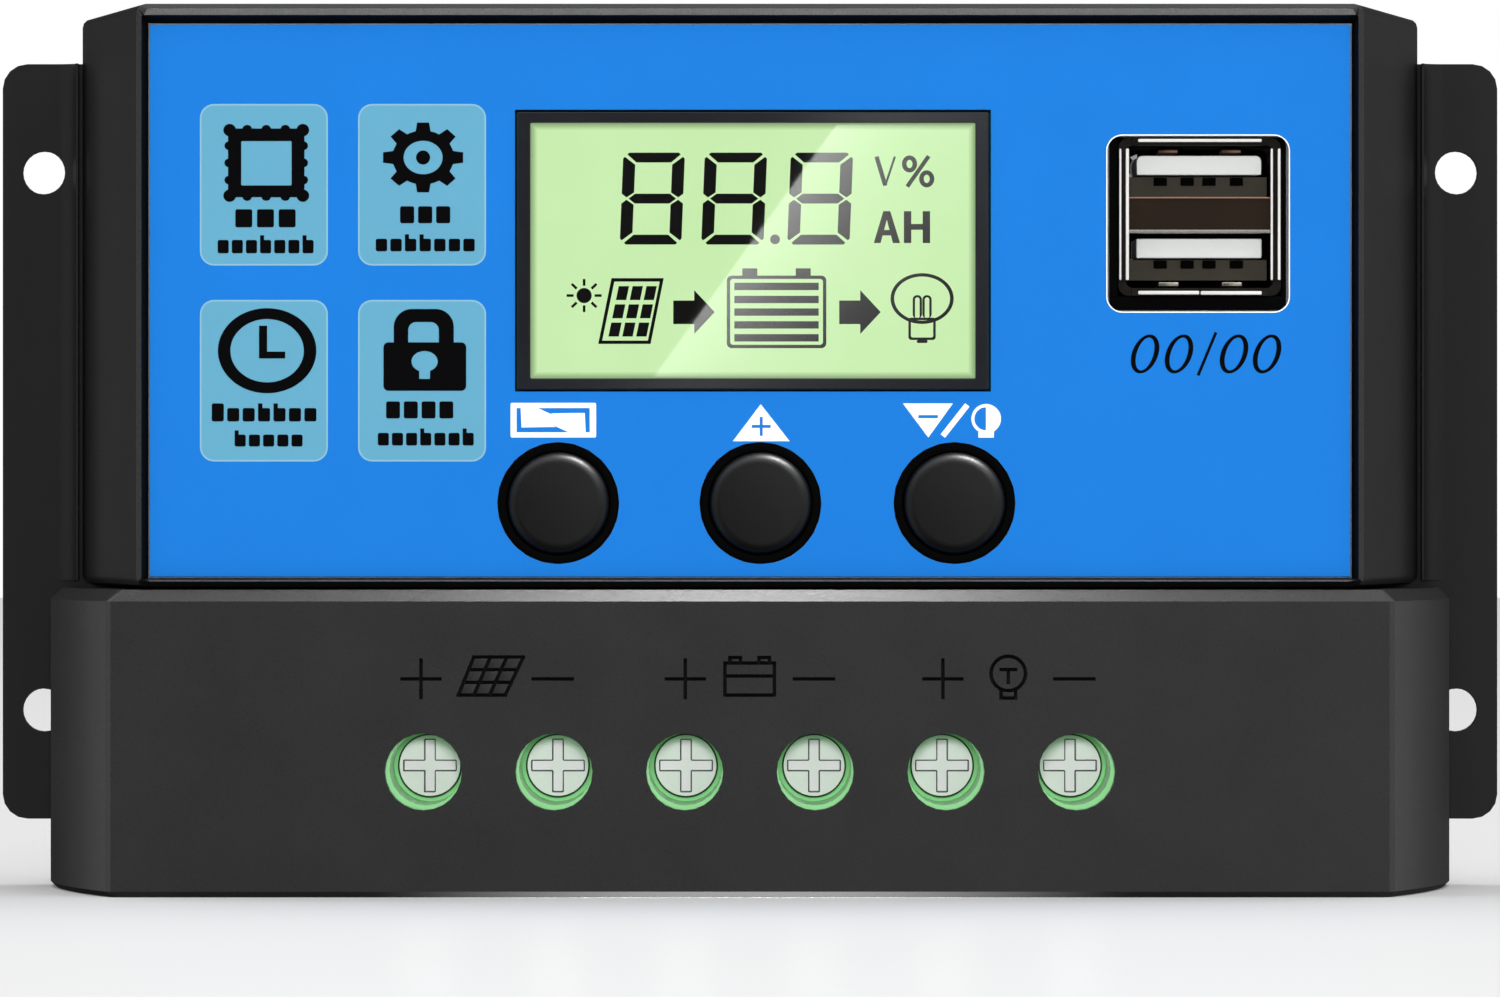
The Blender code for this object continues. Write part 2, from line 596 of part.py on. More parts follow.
def power_stage(chip_material, pad_material, bar_material, screw_material):
    """Four transistors pressed flat on the plate through an insulating pad by one sprung bar."""
    body_front = TRANSISTOR_BACK - 4.4
    pad = along_y(rectangle(-36.0, 26.0, 58.8, 74.8), SLAB_FRONT - 0.4, SLAB_FRONT - TIGHT)
    bar_axis = (CLAMP_BAR_SCREW_X, CLAMP_BAR_Z)
    pad_hole = along_y(circle(*bar_axis, 2.0, SMALL_ROUND), SLAB_FRONT - 1, SLAB_FRONT + 1)
    piece("insulating_pad", pad, pad_material, cut=(pad_hole,))
    low, high = TRANSISTOR_BODY_Z
    for number, x in enumerate(TRANSISTORS_X, 1):
        body = loft([
            ring_y(centred(x, (low + high) / 2, 9.6, high - low - 0.6), body_front),
            ring_y(rectangle(x - 5.1, x + 5.1, low, high), body_front + 1.0),
            ring_y(rectangle(x - 5.1, x + 5.1, low, high), TRANSISTOR_BACK - 0.1),
        ])
        tab = block(x - 5.0, x + 5.0, TRANSISTOR_BACK - 1.3, TRANSISTOR_BACK, low + 0.5, high + 5.6)
        legs = [
            block(x + offset - 0.4, x + offset + 0.4, 10.9, 11.4, low - 6.0, low + 0.5)
            for offset in (-2.54, 0.0, 2.54)
        ]
        hole = along_y(circle(x, high + 2.7, 1.8, SMALL_ROUND), TRANSISTOR_BACK - 2, TRANSISTOR_BACK + 1)
        piece(f"power_transistor_{number}", body, chip_material, add=(tab, together(legs)), cut=(hole,))
    bar_back = body_front - TIGHT
    bar = along_y(rectangle(-35.0, 25.0, CLAMP_BAR_Z - 2.4, CLAMP_BAR_Z + 2.4), bar_back - 1.2, bar_back)
    bar_hole = along_y(circle(*bar_axis, 1.8, SMALL_ROUND), bar_back - 2, bar_back + 1)
    piece("transistor_clamp_bar", bar, bar_material, cut=(bar_hole,))
    head_back = bar_back - 1.2 - TIGHT
    profile = [(2.2, head_back - 1.6), (2.7, head_back - 1.0), (2.7, head_back)]
    profile += [(1.4, head_back), (1.4, 15.0)]
    x = CLAMP_BAR_SCREW_X
    slot_z = (CLAMP_BAR_Z - 0.35, CLAMP_BAR_Z + 0.35)
    slot = block(x - 3, x + 3, head_back - 2, head_back - 0.9, *slot_z)
    piece("clamp_bar_screw", turned(x, CLAMP_BAR_Z, profile, 16), screw_material, cut=(slot,))


# ---- terminal block -------------------------------------------------------------------------------

def terminal_block(material):
    body = block(-BLOCK_HALF_WIDTH, BLOCK_HALF_WIDTH, BLOCK_FRONT, BLOCK_BACK, *BLOCK_Z)
    cavity_half = CAGE_HALF_WIDTH + 0.2
    wire_low, wire_high = WIRE_Y
    depth = (CAVITY_FRONT, CAVITY_BACK)
    cavities = at_poles(lambda x: block(x - cavity_half, x + cavity_half, *depth, *CAVITY_Z))
    entry_half = WIRE_HALF_WIDTH + 0.2
    entry = (wire_low - 0.2, wire_high + 0.2, BLOCK_Z[0] - 1, CAVITY_Z[0] + 0.5)
    entries = at_poles(lambda x: block(x - entry_half, x + entry_half, *entry))
    wells = at_poles(lambda x: along_y(circle(x, POLE_Z, WELL_RADIUS), BLOCK_FRONT - 1, WELL_FLOOR))
    ledge = (WELL_FLOOR - 0.5, CAVITY_FRONT + 0.5)
    shank_holes = at_poles(lambda x: along_y(circle(x, POLE_Z, SHANK_RADIUS + 0.25, 16), *ledge))
    back_wall = (CAVITY_BACK - 0.5, BLOCK_BACK + 1)
    pin_slots = at_poles(lambda x: block(x - 2.7, x + 2.7, *back_wall, 15.3, 16.6))
    hollows = together([cavities, wells])
    passages = together([entries, shank_holes, pin_slots])
    piece("terminal_block", body, material, cut=(hollows, passages))


def clamp_screw(name, x, material):
    """A cheese-head screw with a cross slot; it turns in the block and draws the cage up."""
    head_back = WELL_FLOOR - TIGHT
    profile = [(HEAD_RADIUS - 0.25, HEAD_FRONT), (HEAD_RADIUS, HEAD_FRONT + 0.25), (HEAD_RADIUS, head_back)]
    profile += [(SHANK_RADIUS, head_back), (SHANK_RADIUS, SHANK_END - 0.3), (SHANK_RADIUS - 0.3, SHANK_END)]
    arm = 2.3
    half = 0.46
    floor = HEAD_FRONT + 0.8
    across = block(x - arm, x + arm, HEAD_FRONT - 1, floor, POLE_Z - half, POLE_Z + half)
    upright = block(x - half, x + half, HEAD_FRONT - 1, floor, POLE_Z - arm, POLE_Z + arm)
    piece(name, turned(x, POLE_Z, profile), material, cut=(across, upright), origin=(x, 0.0, POLE_Z))


def cage_clamp(name, x, material):
    """A square ring round the wire and the contact; its front plate is threaded for the screw."""
    front, back = CAGE_Y
    ring = block(x - CAGE_HALF_WIDTH, x + CAGE_HALF_WIDTH, front, back, *CAGE_Z)
    wire_way = (front + 1.0, WIRE_Y[1], CAGE_Z[0] - 1, CAGE_Z[1] + 1)
    wire = block(x - WIRE_HALF_WIDTH, x + WIRE_HALF_WIDTH, *wire_way)
    thread = along_y(circle(x, POLE_Z, SHANK_RADIUS + 0.1, 20), front - 1, front + 1.5)
    piece(name, ring, material, cut=(wire, thread), origin=(x, 0.0, POLE_Z))


def contact_pin(name, x, material):
    """The tinned bar that the wire is pressed against, bent back to the main board."""
    bar_front, bar_back = WIRE_Y[0] - 0.5, WIRE_Y[0]
    leg_top = 16.3
    leg_end = MAIN_BOARD[0] - TIGHT
    section = [(bar_front, 6.0), (bar_back, 6.0), (bar_back, leg_top - 0.5)]
    section += [(leg_end, leg_top - 0.5), (leg_end, leg_top), (bar_front, leg_top)]
    bar = loft([[(x + side * 2.4, y, z) for y, z in section] for side in (-1, 1)])
    piece(name, bar, material)


def poles(screw_material, cage_material, pin_material):
    for number, pole in enumerate(POLES):
        x = pole_x(number)
        clamp_screw(f"{pole}_screw", x, screw_material)
        cage_clamp(f"{pole}_clamp", x, cage_material)
        contact_pin(f"{pole}_contact", x, pin_material)


# ---- USB socket -----------------------------------------------------------------------------------

def usb_socket(shell_material, tongue_material, divider_material):
    rear = MAIN_BOARD[0] - TIGHT
    shell = along_y(centred(USB_X, USB_Z, USB_WIDTH, USB_HEIGHT), USB_FRONT, rear)
    inner_width = USB_WIDTH - 2 * USB_WALL
    inner_height = USB_HEIGHT - 2 * USB_WALL
    inside = along_y(centred(USB_X, USB_Z, inner_width, inner_height), USB_FRONT - 1, rear + 1)
    piece("usb_shell", shell, shell_material, cut=(inside,))
    half = inner_width / 2 - 0.15
    low, high = USB_DIVIDER
    divider = block(USB_X - half, USB_X + half, USB_FRONT + 0.5, rear, low, high)
    piece("usb_divider", divider, divider_material)
    limits = {
        "upper": (high + 0.15, USB_Z + inner_height / 2 - 0.15),
        "lower": (USB_Z - inner_height / 2 + 0.15, low - 0.15),
    }
    tongue_span = (USB_X - TONGUE_WIDTH / 2, USB_X + TONGUE_WIDTH / 2, USB_FRONT + 2.0, -2.0)
    for port, z in TONGUES.items():
        base = block(USB_X - half, USB_X + half, -3.0, rear, *limits[port])
        tongue = block(*tongue_span, z - TONGUE_THICKNESS / 2, z + TONGUE_THICKNESS / 2)
        piece(f"usb_{port}_tongue", base, tongue_material, add=(tongue,))


# ---- whole model ----------------------------------------------------------------------------------

def main():
    for item in list(bpy.data.objects):
        bpy.data.objects.remove(item, do_unlink=True)

    case = finish("case_plastic", (0.035, 0.035, 0.035), 0.45)
    plate = finish("black_aluminium", (0.03, 0.03, 0.032), 0.4, 0.6)
    label = finish("blue_label", (0.024, 0.246, 0.799), 0.5)
    trim = finish("black_trim", (0.02, 0.02, 0.02), 0.3)
    window = finish("clear_window", (0.9, 0.95, 0.9), 0.05)
    glass = finish("lcd_glass", (0.56, 0.88, 0.42), 0.1)
    light = finish("light_guide", (0.62, 0.9, 0.45), 0.4)
    board = finish("green_board", (0.02, 0.16, 0.06), 0.5)
    green = finish("terminal_green", (0.23, 0.62, 0.27), 0.4)
    steel = finish("zinc_steel", (0.6, 0.6, 0.6), 0.3, 1.0)
    tin = finish("tinned_brass", (0.65, 0.62, 0.55), 0.35, 1.0)
    chrome = finish("nickel_shell", (0.7, 0.7, 0.7), 0.2, 1.0)
    white = finish("white_insulator", (0.75, 0.76, 0.75), 0.4)
    resin = finish("black_resin", (0.02, 0.02, 0.022), 0.5)
    pad = finish("grey_pad", (0.35, 0.36, 0.38), 0.8)

    mounting_plate(plate)
    display_cover(case)
    terminal_cover(case)
    front_label(label)
    case_screws(steel)
    lcd(trim, window, glass, light, tin)
    push_buttons(trim, trim, resin)
    boards(board, tin)
    board_parts(chrome, resin, resin, steel)
    power_stage(resin, pad, steel, steel)
    terminal_block(green)
    poles(steel, tin, tin)
    usb_socket(chrome, white, resin)


main()
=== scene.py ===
"""Solar charge controller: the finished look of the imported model.

The frame is metres with +Z up; the controller stands on z = 0 and faces -Y. Sizes below are in
millimetres, apart from the studio's, which are in metres. The label's artwork is measured across from
the label's middle and down from its top edge.
"""

import json
import math

import bpy
import bmesh
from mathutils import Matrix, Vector


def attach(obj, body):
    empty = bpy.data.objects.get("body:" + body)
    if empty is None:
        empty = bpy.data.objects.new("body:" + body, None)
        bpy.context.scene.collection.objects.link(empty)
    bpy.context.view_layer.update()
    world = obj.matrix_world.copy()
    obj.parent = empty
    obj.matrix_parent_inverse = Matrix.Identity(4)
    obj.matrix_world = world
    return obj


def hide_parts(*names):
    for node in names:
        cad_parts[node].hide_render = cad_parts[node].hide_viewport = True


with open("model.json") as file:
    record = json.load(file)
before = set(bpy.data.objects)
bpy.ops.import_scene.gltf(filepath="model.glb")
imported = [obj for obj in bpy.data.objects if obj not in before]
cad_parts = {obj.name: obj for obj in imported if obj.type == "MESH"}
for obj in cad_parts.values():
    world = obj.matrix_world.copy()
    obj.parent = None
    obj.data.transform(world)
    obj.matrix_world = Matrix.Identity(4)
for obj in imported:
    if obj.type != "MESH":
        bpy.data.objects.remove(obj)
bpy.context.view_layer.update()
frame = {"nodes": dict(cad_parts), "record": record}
nodes = frame["nodes"]

MM = 0.001
FRONT = -17.5
LABEL_FRONT = -16.6
LABEL_TOP = 75.5
LCD_INK_FRONT = -15.44
SCREW_X = [(i - 2.5) * 11.22 for i in range(6)]
POLES = ("solar_plus", "solar_minus", "battery_plus", "battery_minus", "load_plus", "load_minus")
SCREW_Z = 11.1
BUTTONS = {"menu": -16.6, "up": 0.9, "down": 17.7}
BUTTON_Z = 34.1
USB_X, USB_Z = 38.95, 58.9
TONGUE_BASE_FRONT = -3.5
USB_TONGUES = {"upper": 63.4, "lower": 56.2}


# ---- outlines, as lists of (u, v) -------------------------------------------------------------------

def art(points):
    """Points across from the label's middle and down from its top edge, turned into (x, z)."""
    return [(u, LABEL_TOP - v) for u, v in points]


def rectangle(u0, u1, v0, v1):
    return [(u0, v0), (u1, v0), (u1, v1), (u0, v1)]


def arc(u, v, radius_u, start, end, steps, radius_v=None):
    """Points round a centre, between two angles in degrees."""
    radius_v = radius_u if radius_v is None else radius_v
    angles = [math.radians(start + (end - start) * i / steps) for i in range(steps + 1)]
    return [(u + radius_u * math.cos(a), v + radius_v * math.sin(a)) for a in angles]


def ellipse(u, v, radius_u, radius_v=None, steps=48):
    return arc(u, v, radius_u, 0, 360, steps, radius_v)[:-1]


def rounded(u0, u1, v0, v1, radius, steps=6):
    corners = ((u0, v0, 1, 1, 180), (u1, v0, -1, 1, 270), (u1, v1, -1, -1, 0), (u0, v1, 1, -1, 90))
    points = []
    for u, v, side_u, side_v, start in corners:
        points += arc(u + side_u * radius, v + side_v * radius, radius, start, start + 90, steps)
    return points


def stroke(start, end, width):
    """The outline of a straight line of that width."""
    (u0, v0), (u1, v1) = start, end
    length = math.hypot(u1 - u0, v1 - v0)
    across_u = -(v1 - v0) / length * width / 2
    across_v = (u1 - u0) / length * width / 2
    return [
        (u0 + across_u, v0 + across_v),
        (u0 - across_u, v0 - across_v),
        (u1 - across_u, v1 - across_v),
        (u1 + across_u, v1 + across_v),
    ]


def slanted(points, base_v, amount):
    """Points leaned to the right, by amount for each unit above base_v."""
    return [(u + (base_v - v) * amount, v) for u, v in points]


# ---- shapes: (vertices, faces) ----------------------------------------------------------------------

def loft(rings):
    count = len(rings[0])
    vertices = [point for ring in rings for point in ring]
    faces = [tuple(reversed(range(count))), tuple(range(len(vertices) - count, len(vertices)))]
    for level in range(len(rings) - 1):
        low = level * count
        for i in range(count):
            j = (i + 1) % count
            faces.append((low + i, low + j, low + count + j, low + count + i))
    return vertices, faces


def ring_y(outline, y):
    return [(u, y, v) for u, v in outline]


def along_y(outline, y0, y1):
    return loft([ring_y(outline, y0), ring_y(outline, y1)])


def block(x0, x1, y0, y1, z0, z1):
    return along_y(rectangle(x0, x1, z0, z1), y0, y1)


def turned(x, z, profile, segments=64):
    """A solid of revolution about a line along Y; the profile is a list of (radius, y)."""
    return loft([ring_y(ellipse(x, z, radius, radius, segments), y) for radius, y in profile])


def hollow(x, z, profile, segments=96):
    """A ring turned about a line along Y; the profile is a closed loop of (radius, y)."""
    vertices, faces = [], []
    for level, (radius, y) in enumerate(profile):
        vertices += ring_y(ellipse(x, z, radius, radius, segments), y)
        low, high = level * segments, (level + 1) % len(profile) * segments
        for i in range(segments):
            j = (i + 1) % segments
            faces.append((low + i, low + j, high + j, high + i))
    return vertices, faces


def together(shapes):
    vertices, faces = [], []
    for shape_vertices, shape_faces in shapes:
        start = len(vertices)
        vertices += shape_vertices
        faces += [tuple(start + i for i in face) for face in shape_faces]
    return vertices, faces


# ---- objects ----------------------------------------------------------------------------------------

def link(name, mesh):
    holder = bpy.data.objects.new(name, mesh)
    bpy.context.scene.collection.objects.link(holder)
    return holder


def mesh_of(name, shape):
    """A mesh in metres, with its faces turned outwards."""
    vertices, faces = shape
    mesh = bpy.data.meshes.new(name)
    mesh.from_pydata([tuple(c * MM for c in v) for v in vertices], [], faces)
    outward(mesh)
    return mesh


def outward(mesh):
    work = bmesh.new()
    work.from_mesh(mesh)
    bmesh.ops.recalc_face_normals(work, faces=work.faces)
    work.to_mesh(mesh)
    work.free()


def applied(holder):
    """The object with its modifiers made into its mesh."""
    bpy.context.view_layer.update()
    graph = bpy.context.evaluated_depsgraph_get()
    mesh = bpy.data.meshes.new_from_object(holder.evaluated_get(graph))
    holder.modifiers.clear()
    holder.data = mesh
    return holder


def carve(holder, operation, shape, overlapping=False, material=None):
    """Adds or cuts away a shape; the cut faces can have a material of their own."""
    tool = link("carving", mesh_of("carving", shape))
    if material:
        tool.data.materials.append(material)
    step = holder.modifiers.new("carve", "BOOLEAN")
    step.operation = operation
    step.solver = "EXACT"
    step.use_self = overlapping
    step.material_mode = "TRANSFER"
    step.object = tool
    applied(holder)
    bpy.data.objects.remove(tool)


def soften(holder, width, segments=2, angle=30.0, flatten=1.0, smooth=True):
    """Rounds the sharp edges and, unless told not to, shades the rest smoothly."""
    holder.data.polygons.foreach_set("use_smooth", [smooth] * len(holder.data.polygons))
    weld = holder.modifiers.new("weld", "WELD")
    weld.merge_threshold = 0.000002
    if flatten:
        flat = holder.modifiers.new("flatten", "DECIMATE")
        flat.decimate_type = "DISSOLVE"
        flat.angle_limit = math.radians(flatten)
    if width:
        bevel = holder.modifiers.new("round", "BEVEL")
        bevel.width = width * MM
        bevel.segments = segments
        bevel.limit_method = "ANGLE"
        bevel.angle_limit = math.radians(angle)
        bevel.use_clamp_overlap = True
        bevel.miter_outer = "MITER_ARC"
    if smooth:
        shading = holder.modifiers.new("shading", "WEIGHTED_NORMAL")
        shading.keep_sharp = True
        shading.weight = 80


def place(holder, material, slot, body="housing"):
    holder.data.materials.clear()
    holder.data.materials.append(material)
    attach(holder, body)
    return holder


def solid(name, shape, material, slot, body="housing", width=0.08, segments=2, cuts=()):
    holder = link(name, mesh_of(name, shape))
    for cut in cuts:
        carve(holder, "DIFFERENCE", cut)
    soften(holder, width, segments)
    return place(holder, material, slot, body)


def printed(name, groups, front, depth, material, slot, body="housing"):
    """Thin flat print. Each group is an outline followed by the outlines of its holes."""
    vertices, faces = [], []
    for layer, outlines in enumerate(groups):
        curve = bpy.data.curves.new("outline", "CURVE")
        curve.dimensions = "2D"
        curve.fill_mode = "BOTH"
        curve.extrude = depth / 2
        for outline in outlines:
            spline = curve.splines.new("POLY")
            spline.points.add(len(outline) - 1)
            for point, (u, v) in zip(spline.points, outline):
                point.co = (u, v, 0, 1)
            spline.use_cyclic_u = True
        holder = link("outline", curve)
        bpy.context.view_layer.update()
        graph = bpy.context.evaluated_depsgraph_get()
        filled = bpy.data.meshes.new_from_object(holder.evaluated_get(graph))
        start = len(vertices)
        middle = front + depth / 2 + 0.0006 * (layer % 7)
        vertices += [(p.co.x, middle - p.co.z, p.co.y) for p in filled.vertices]
        faces += [tuple(start + i for i in polygon.vertices) for polygon in filled.polygons]
        bpy.data.objects.remove(holder)
        bpy.data.meshes.remove(filled)
    mesh = bpy.data.meshes.new(name)
    mesh.from_pydata([tuple(c * MM for c in v) for v in vertices], [], faces)
    work = bmesh.new()
    work.from_mesh(mesh)
    bmesh.ops.remove_doubles(work, verts=work.verts, dist=0.0000005)
    bmesh.ops.recalc_face_normals(work, faces=work.faces)
    work.to_mesh(mesh)
    work.free()
    return place(link(name, mesh), material, slot, body)


# ---- materials --------------------------------------------------------------------------------------

class Nodes:
    """A small wrapper that adds nodes and joins them."""

    def __init__(self, name):
        self.material = bpy.data.materials.new(name)
        self.material.use_nodes = True
        self.tree = self.material.node_tree
        self.tree.nodes.clear()
        self.place = self.add("ShaderNodeTexCoord").outputs["Object"]

    def add(self, kind, inputs=None, **settings):
        node = self.tree.nodes.new(kind)
        for key, value in settings.items():
            setattr(node, key, value)
        for key, value in (inputs or {}).items():
            self.set(node.inputs[key], value)
        return node

    def set(self, socket, value):
        if isinstance(value, bpy.types.NodeSocket):
            self.tree.links.new(value, socket)
        else:
            socket.default_value = value

    def noise(self, scale, detail=2.0, stretch=(1, 1, 1), roughness=0.5):
        """Noise with about scale features per millimetre."""
        mapping = self.add("ShaderNodeMapping", {"Vector": self.place})
        mapping.inputs["Scale"].default_value = [s * 1000 for s in stretch]
        return self.add(
            "ShaderNodeTexNoise",
            {"Vector": mapping.outputs[0], "Scale": scale, "Detail": detail, "Roughness": roughness},
        ).outputs["Fac"]

    def spread(self, value, low, high, source=(0.3, 0.7)):
        """Maps a noise value into a range."""
        return self.add(
            "ShaderNodeMapRange",
            {"Value": value, "From Min": source[0], "From Max": source[1], "To Min": low, "To Max": high},
        ).outputs["Result"]

    def between(self, amount, first, second):
        mix = self.add("ShaderNodeMix", data_type="RGBA")
        self.set(mix.inputs[0], amount)
        self.set(mix.inputs[6], (*first, 1.0))
        self.set(mix.inputs[7], (*second, 1.0))
        return mix.outputs[2]

    def math(self, operation, *values, **settings):
        node = self.add("ShaderNodeMath", dict(enumerate(values)), operation=operation, **settings)
        return node.outputs[0]

    def apart(self):
        """The x, y and z of the place, in metres."""
        return self.add("ShaderNodeSeparateXYZ", {"Vector": self.place}).outputs

    def shader(self, inputs, height=None, depth=0.0):
        """The Principled surface, with an optional bump of that depth in millimetres."""
        if height is not None:
            bump = self.add("ShaderNodeBump", {"Height": height, "Distance": depth * MM, "Strength": 1.0})
            inputs["Normal"] = bump.outputs[0]
        surface = self.add("ShaderNodeBsdfPrincipled", inputs)
        self.add("ShaderNodeOutputMaterial", {"Surface": surface.outputs[0]})
        return self.material

    def emit(self, strength):
        light = self.add("ShaderNodeEmission", {"Strength": strength})
        self.add("ShaderNodeOutputMaterial", {"Surface": light.outputs[0]})


def shades(colour, change):
    return [c * (1 - change) for c in colour], [min(1.0, c * (1 + change)) for c in colour]


def finish(
    name, colour, roughness, metallic=0.0, specular=0.5, change=0.1, patch=0.12, grain=5.0, depth=0.0,
    stretch=(1, 1, 1), uneven=0.15, **extra
):
    """A surface whose colour drifts in patches, with a fine grain in its roughness and its height."""
    n = Nodes(name)
    broad = n.noise(patch, 3.0, stretch)
    fine = n.noise(grain, 3.0, stretch, 0.6)
    both = n.math("MULTIPLY_ADD", fine, 0.5, broad)
    dark, light = shades(colour, change)
    inputs = {
        "Base Color": n.between(n.spread(both, 0.0, 1.0, (0.5, 1.0)), dark, light),
        "Roughness": n.spread(fine, roughness * (1 - uneven), min(1.0, roughness * (1 + uneven))),
        "Metallic": metallic,
        "Specular IOR Level": specular,
    }
    inputs.update(extra)
    return n.shader(inputs, fine, depth) if depth else n.shader(inputs)


def lit_glass():
    """The backlit face of the display: yellow-green, with painted shade along its edges."""
    n = Nodes("lcd_glass")
    x, _, z = n.apart()
    edge_shade = []
    for place, centre, half in ((x, 0.00025, 0.01925), (z, 0.05595, 0.01105)):
        away = n.math("ABSOLUTE", n.math("SUBTRACT", place, centre))
        edge_shade.append(n.spread(away, 0.0, 1.0, (half - 0.0006, half + 0.0001)))
    uneven = n.spread(n.noise(0.12, 2.0), 0.0, 1.0)
    tone = n.add("ShaderNodeMix", data_type="RGBA")
    n.set(tone.inputs[0], n.math("MAXIMUM", *edge_shade))
    n.set(tone.inputs[6], n.between(uneven, (0.600, 0.880, 0.445), (0.640, 0.900, 0.480)))
    # painted shade: a dark green near the edges, in place of the frame's shadow on the lit glass
    n.set(tone.inputs[7], (0.16, 0.26, 0.11, 1.0))
    return n.shader({
        "Base Color": (0.02, 0.03, 0.015, 1.0),
        "Roughness": 0.45,
        "Specular IOR Level": 0.2,
        "Emission Color": tone.outputs[2],
        "Emission Strength": 1.0,
    })


def clear(name, tint, roughness):
    n = Nodes(name)
    smear = n.noise(0.15, 3.0)
    return n.shader({
        "Base Color": n.between(smear, tint, (1.0, 1.0, 1.0)),
        "Roughness": n.spread(smear, roughness, roughness * 3),
        "Transmission Weight": 1.0,
        "IOR": 1.45,
    })


case_plastic = finish("case_plastic", (0.0155, 0.0155, 0.0155), 0.30, change=0.12, grain=7.0, depth=0.006)
plate_metal = finish(
    "black_aluminium", (0.0115, 0.0115, 0.0115), 0.42, specular=0.25, change=0.15, grain=6.0, depth=0.004,
    stretch=(1.0, 1.0, 0.06),
)
label_blue = finish(
    "blue_label", (0.0070, 0.148, 0.510), 0.45, specular=0.12, change=0.02, grain=5.0, depth=0.002,
)
trim = finish("black_trim", (0.010, 0.011, 0.014), 0.06, specular=0.35, change=0.1, grain=3.0)
button_rubber = finish(
    "button_plastic", (0.002, 0.002, 0.002), 0.40, specular=0.5, change=0.1, grain=6.0, depth=0.002,
)
# painted shade: near-black for gaps, slot openings and the insides of the sockets
painted_shade_black = finish("painted_shade_black", (0.001, 0.001, 0.001), 0.6, specular=0.05, change=0.2, grain=6.0)
grey_resin = finish("grey_resin", (0.045, 0.040, 0.030), 0.5, change=0.1, grain=6.0, depth=0.002)
# painted light: the green glows a little, to brighten the deep screw wells
glowing_green = finish(
    "terminal_green", (0.25, 0.62, 0.26), 0.38, change=0.05, grain=4.0, depth=0.003,
    **{"Emission Color": (0.25, 0.60, 0.26, 1.0), "Emission Strength": 0.12},
)
board = finish("green_board", (0.010, 0.090, 0.030), 0.35, change=0.25, grain=3.0, depth=0.004)
zinc = finish("zinc_steel", (0.80, 0.77, 0.80), 0.36, metallic=0.05, change=0.05, grain=6.0, depth=0.001)
tin = finish("tinned_brass", (0.70, 0.66, 0.58), 0.28, metallic=1.0, change=0.08, grain=5.0, depth=0.002)
nickel = finish(
    "nickel_shell", (0.72, 0.70, 0.66), 0.20, metallic=1.0, change=0.08, grain=5.0, depth=0.001,
    stretch=(1.0, 0.1, 1.0),
)
white_plastic = finish("white_insulator", (0.56, 0.57, 0.56), 0.40, change=0.03, grain=5.0, depth=0.002)
resin = finish("black_resin", (0.018, 0.017, 0.016), 0.50, change=0.2, grain=8.0, depth=0.004)
pad = finish("grey_pad", (0.22, 0.22, 0.23), 0.75, change=0.1, grain=6.0, depth=0.006)
diffuser = finish("light_guide", (0.75, 0.80, 0.70), 0.50, change=0.03, grain=5.0, depth=0.002)
copper = finish("copper_edge", (0.60, 0.36, 0.24), 0.32, metallic=1.0, change=0.1, grain=5.0, depth=0.001)
brown = finish(
    "divider_resin", (0.016, 0.0105, 0.007), 0.5, specular=0.06, change=0.15, grain=7.0, depth=0.002,
)
# painted highlight: a pale finish for the sleeve's lip edges, in place of the light they catch
edge_highlight = finish(
    "painted_edge_highlight", (0.82, 0.80, 0.76), 0.34, metallic=0.35, change=0.1, grain=3.0, depth=0.002,
)
# painted shade: a darkened copy of the nickel, for the USB sleeve
painted_shade_nickel = finish(
    "shaded_nickel", (0.010, 0.009, 0.008), 0.55, metallic=0.1, specular=0.12, change=0.1, grain=5.0,
)
# painted shade: a darker copy of the case plastic for the display cover's side walls
shaded_case_side = finish(
    "shaded_case_side", (0.012, 0.012, 0.012), 0.36, specular=0.2, change=0.12, grain=7.0, depth=0.006,
)
# painted shade for the bevels round the screws' slots
slot_shade = finish(
    "slot_shade", (0.06, 0.06, 0.06), 0.5, metallic=0.5, specular=0.2, change=0.1, grain=5.0,
)
# painted shade for the engraved grooves and the slope round the label
groove_shade = finish(
    "groove_shade", (0.0015, 0.0015, 0.0015), 0.6, specular=0.12, change=0.1, grain=5.0,
)
tile_blue = finish("tile_ink", (0.094, 0.292, 0.420), 0.50, specular=0.2, change=0.02, grain=6.0)
tile_edge = finish("tile_edge_ink", (0.19, 0.38, 0.49), 0.50, specular=0.2, change=0.02, grain=6.0)
black_ink = finish("black_ink", (0.0014, 0.0014, 0.0018), 0.50, specular=0.06, change=0.1, grain=6.0)
white_ink = finish("white_ink", (0.80, 0.82, 0.84), 0.50, specular=0.2, change=0.02, grain=6.0)
lcd_ink = finish("lcd_ink", (0.004, 0.003, 0.003), 0.01, specular=0.7, change=0.1, grain=6.0)
glass = lit_glass()
window = clear("clear_window", (0.97, 1.0, 0.97), 0.003)

SLOTS = {
    "case_plastic": case_plastic, "black_aluminium": plate_metal, "blue_label": label_blue,
    "black_trim": trim, "clear_window": window, "lcd_glass": glass, "light_guide": diffuser,
    "green_board": board, "terminal_green": glowing_green, "zinc_steel": zinc, "tinned_brass": tin,
    "nickel_shell": nickel, "white_insulator": white_plastic, "black_resin": resin, "grey_pad": pad,
}
EDGES = {
    "display_cover": 0.16, "terminal_cover": 0.16, "mounting_plate": 0.14, "front_label": 0.0,
    "lcd_frame": 0.10, "lcd_window": 0.0, "lcd_glass": 0.0, "terminal_block": 0.10, "usb_shell": 0.10,
    "usb_upper_tongue": 0.45, "usb_lower_tongue": 0.45,
}
FLAT = ("front_label", "lcd_frame", "lcd_window", "lcd_glass")


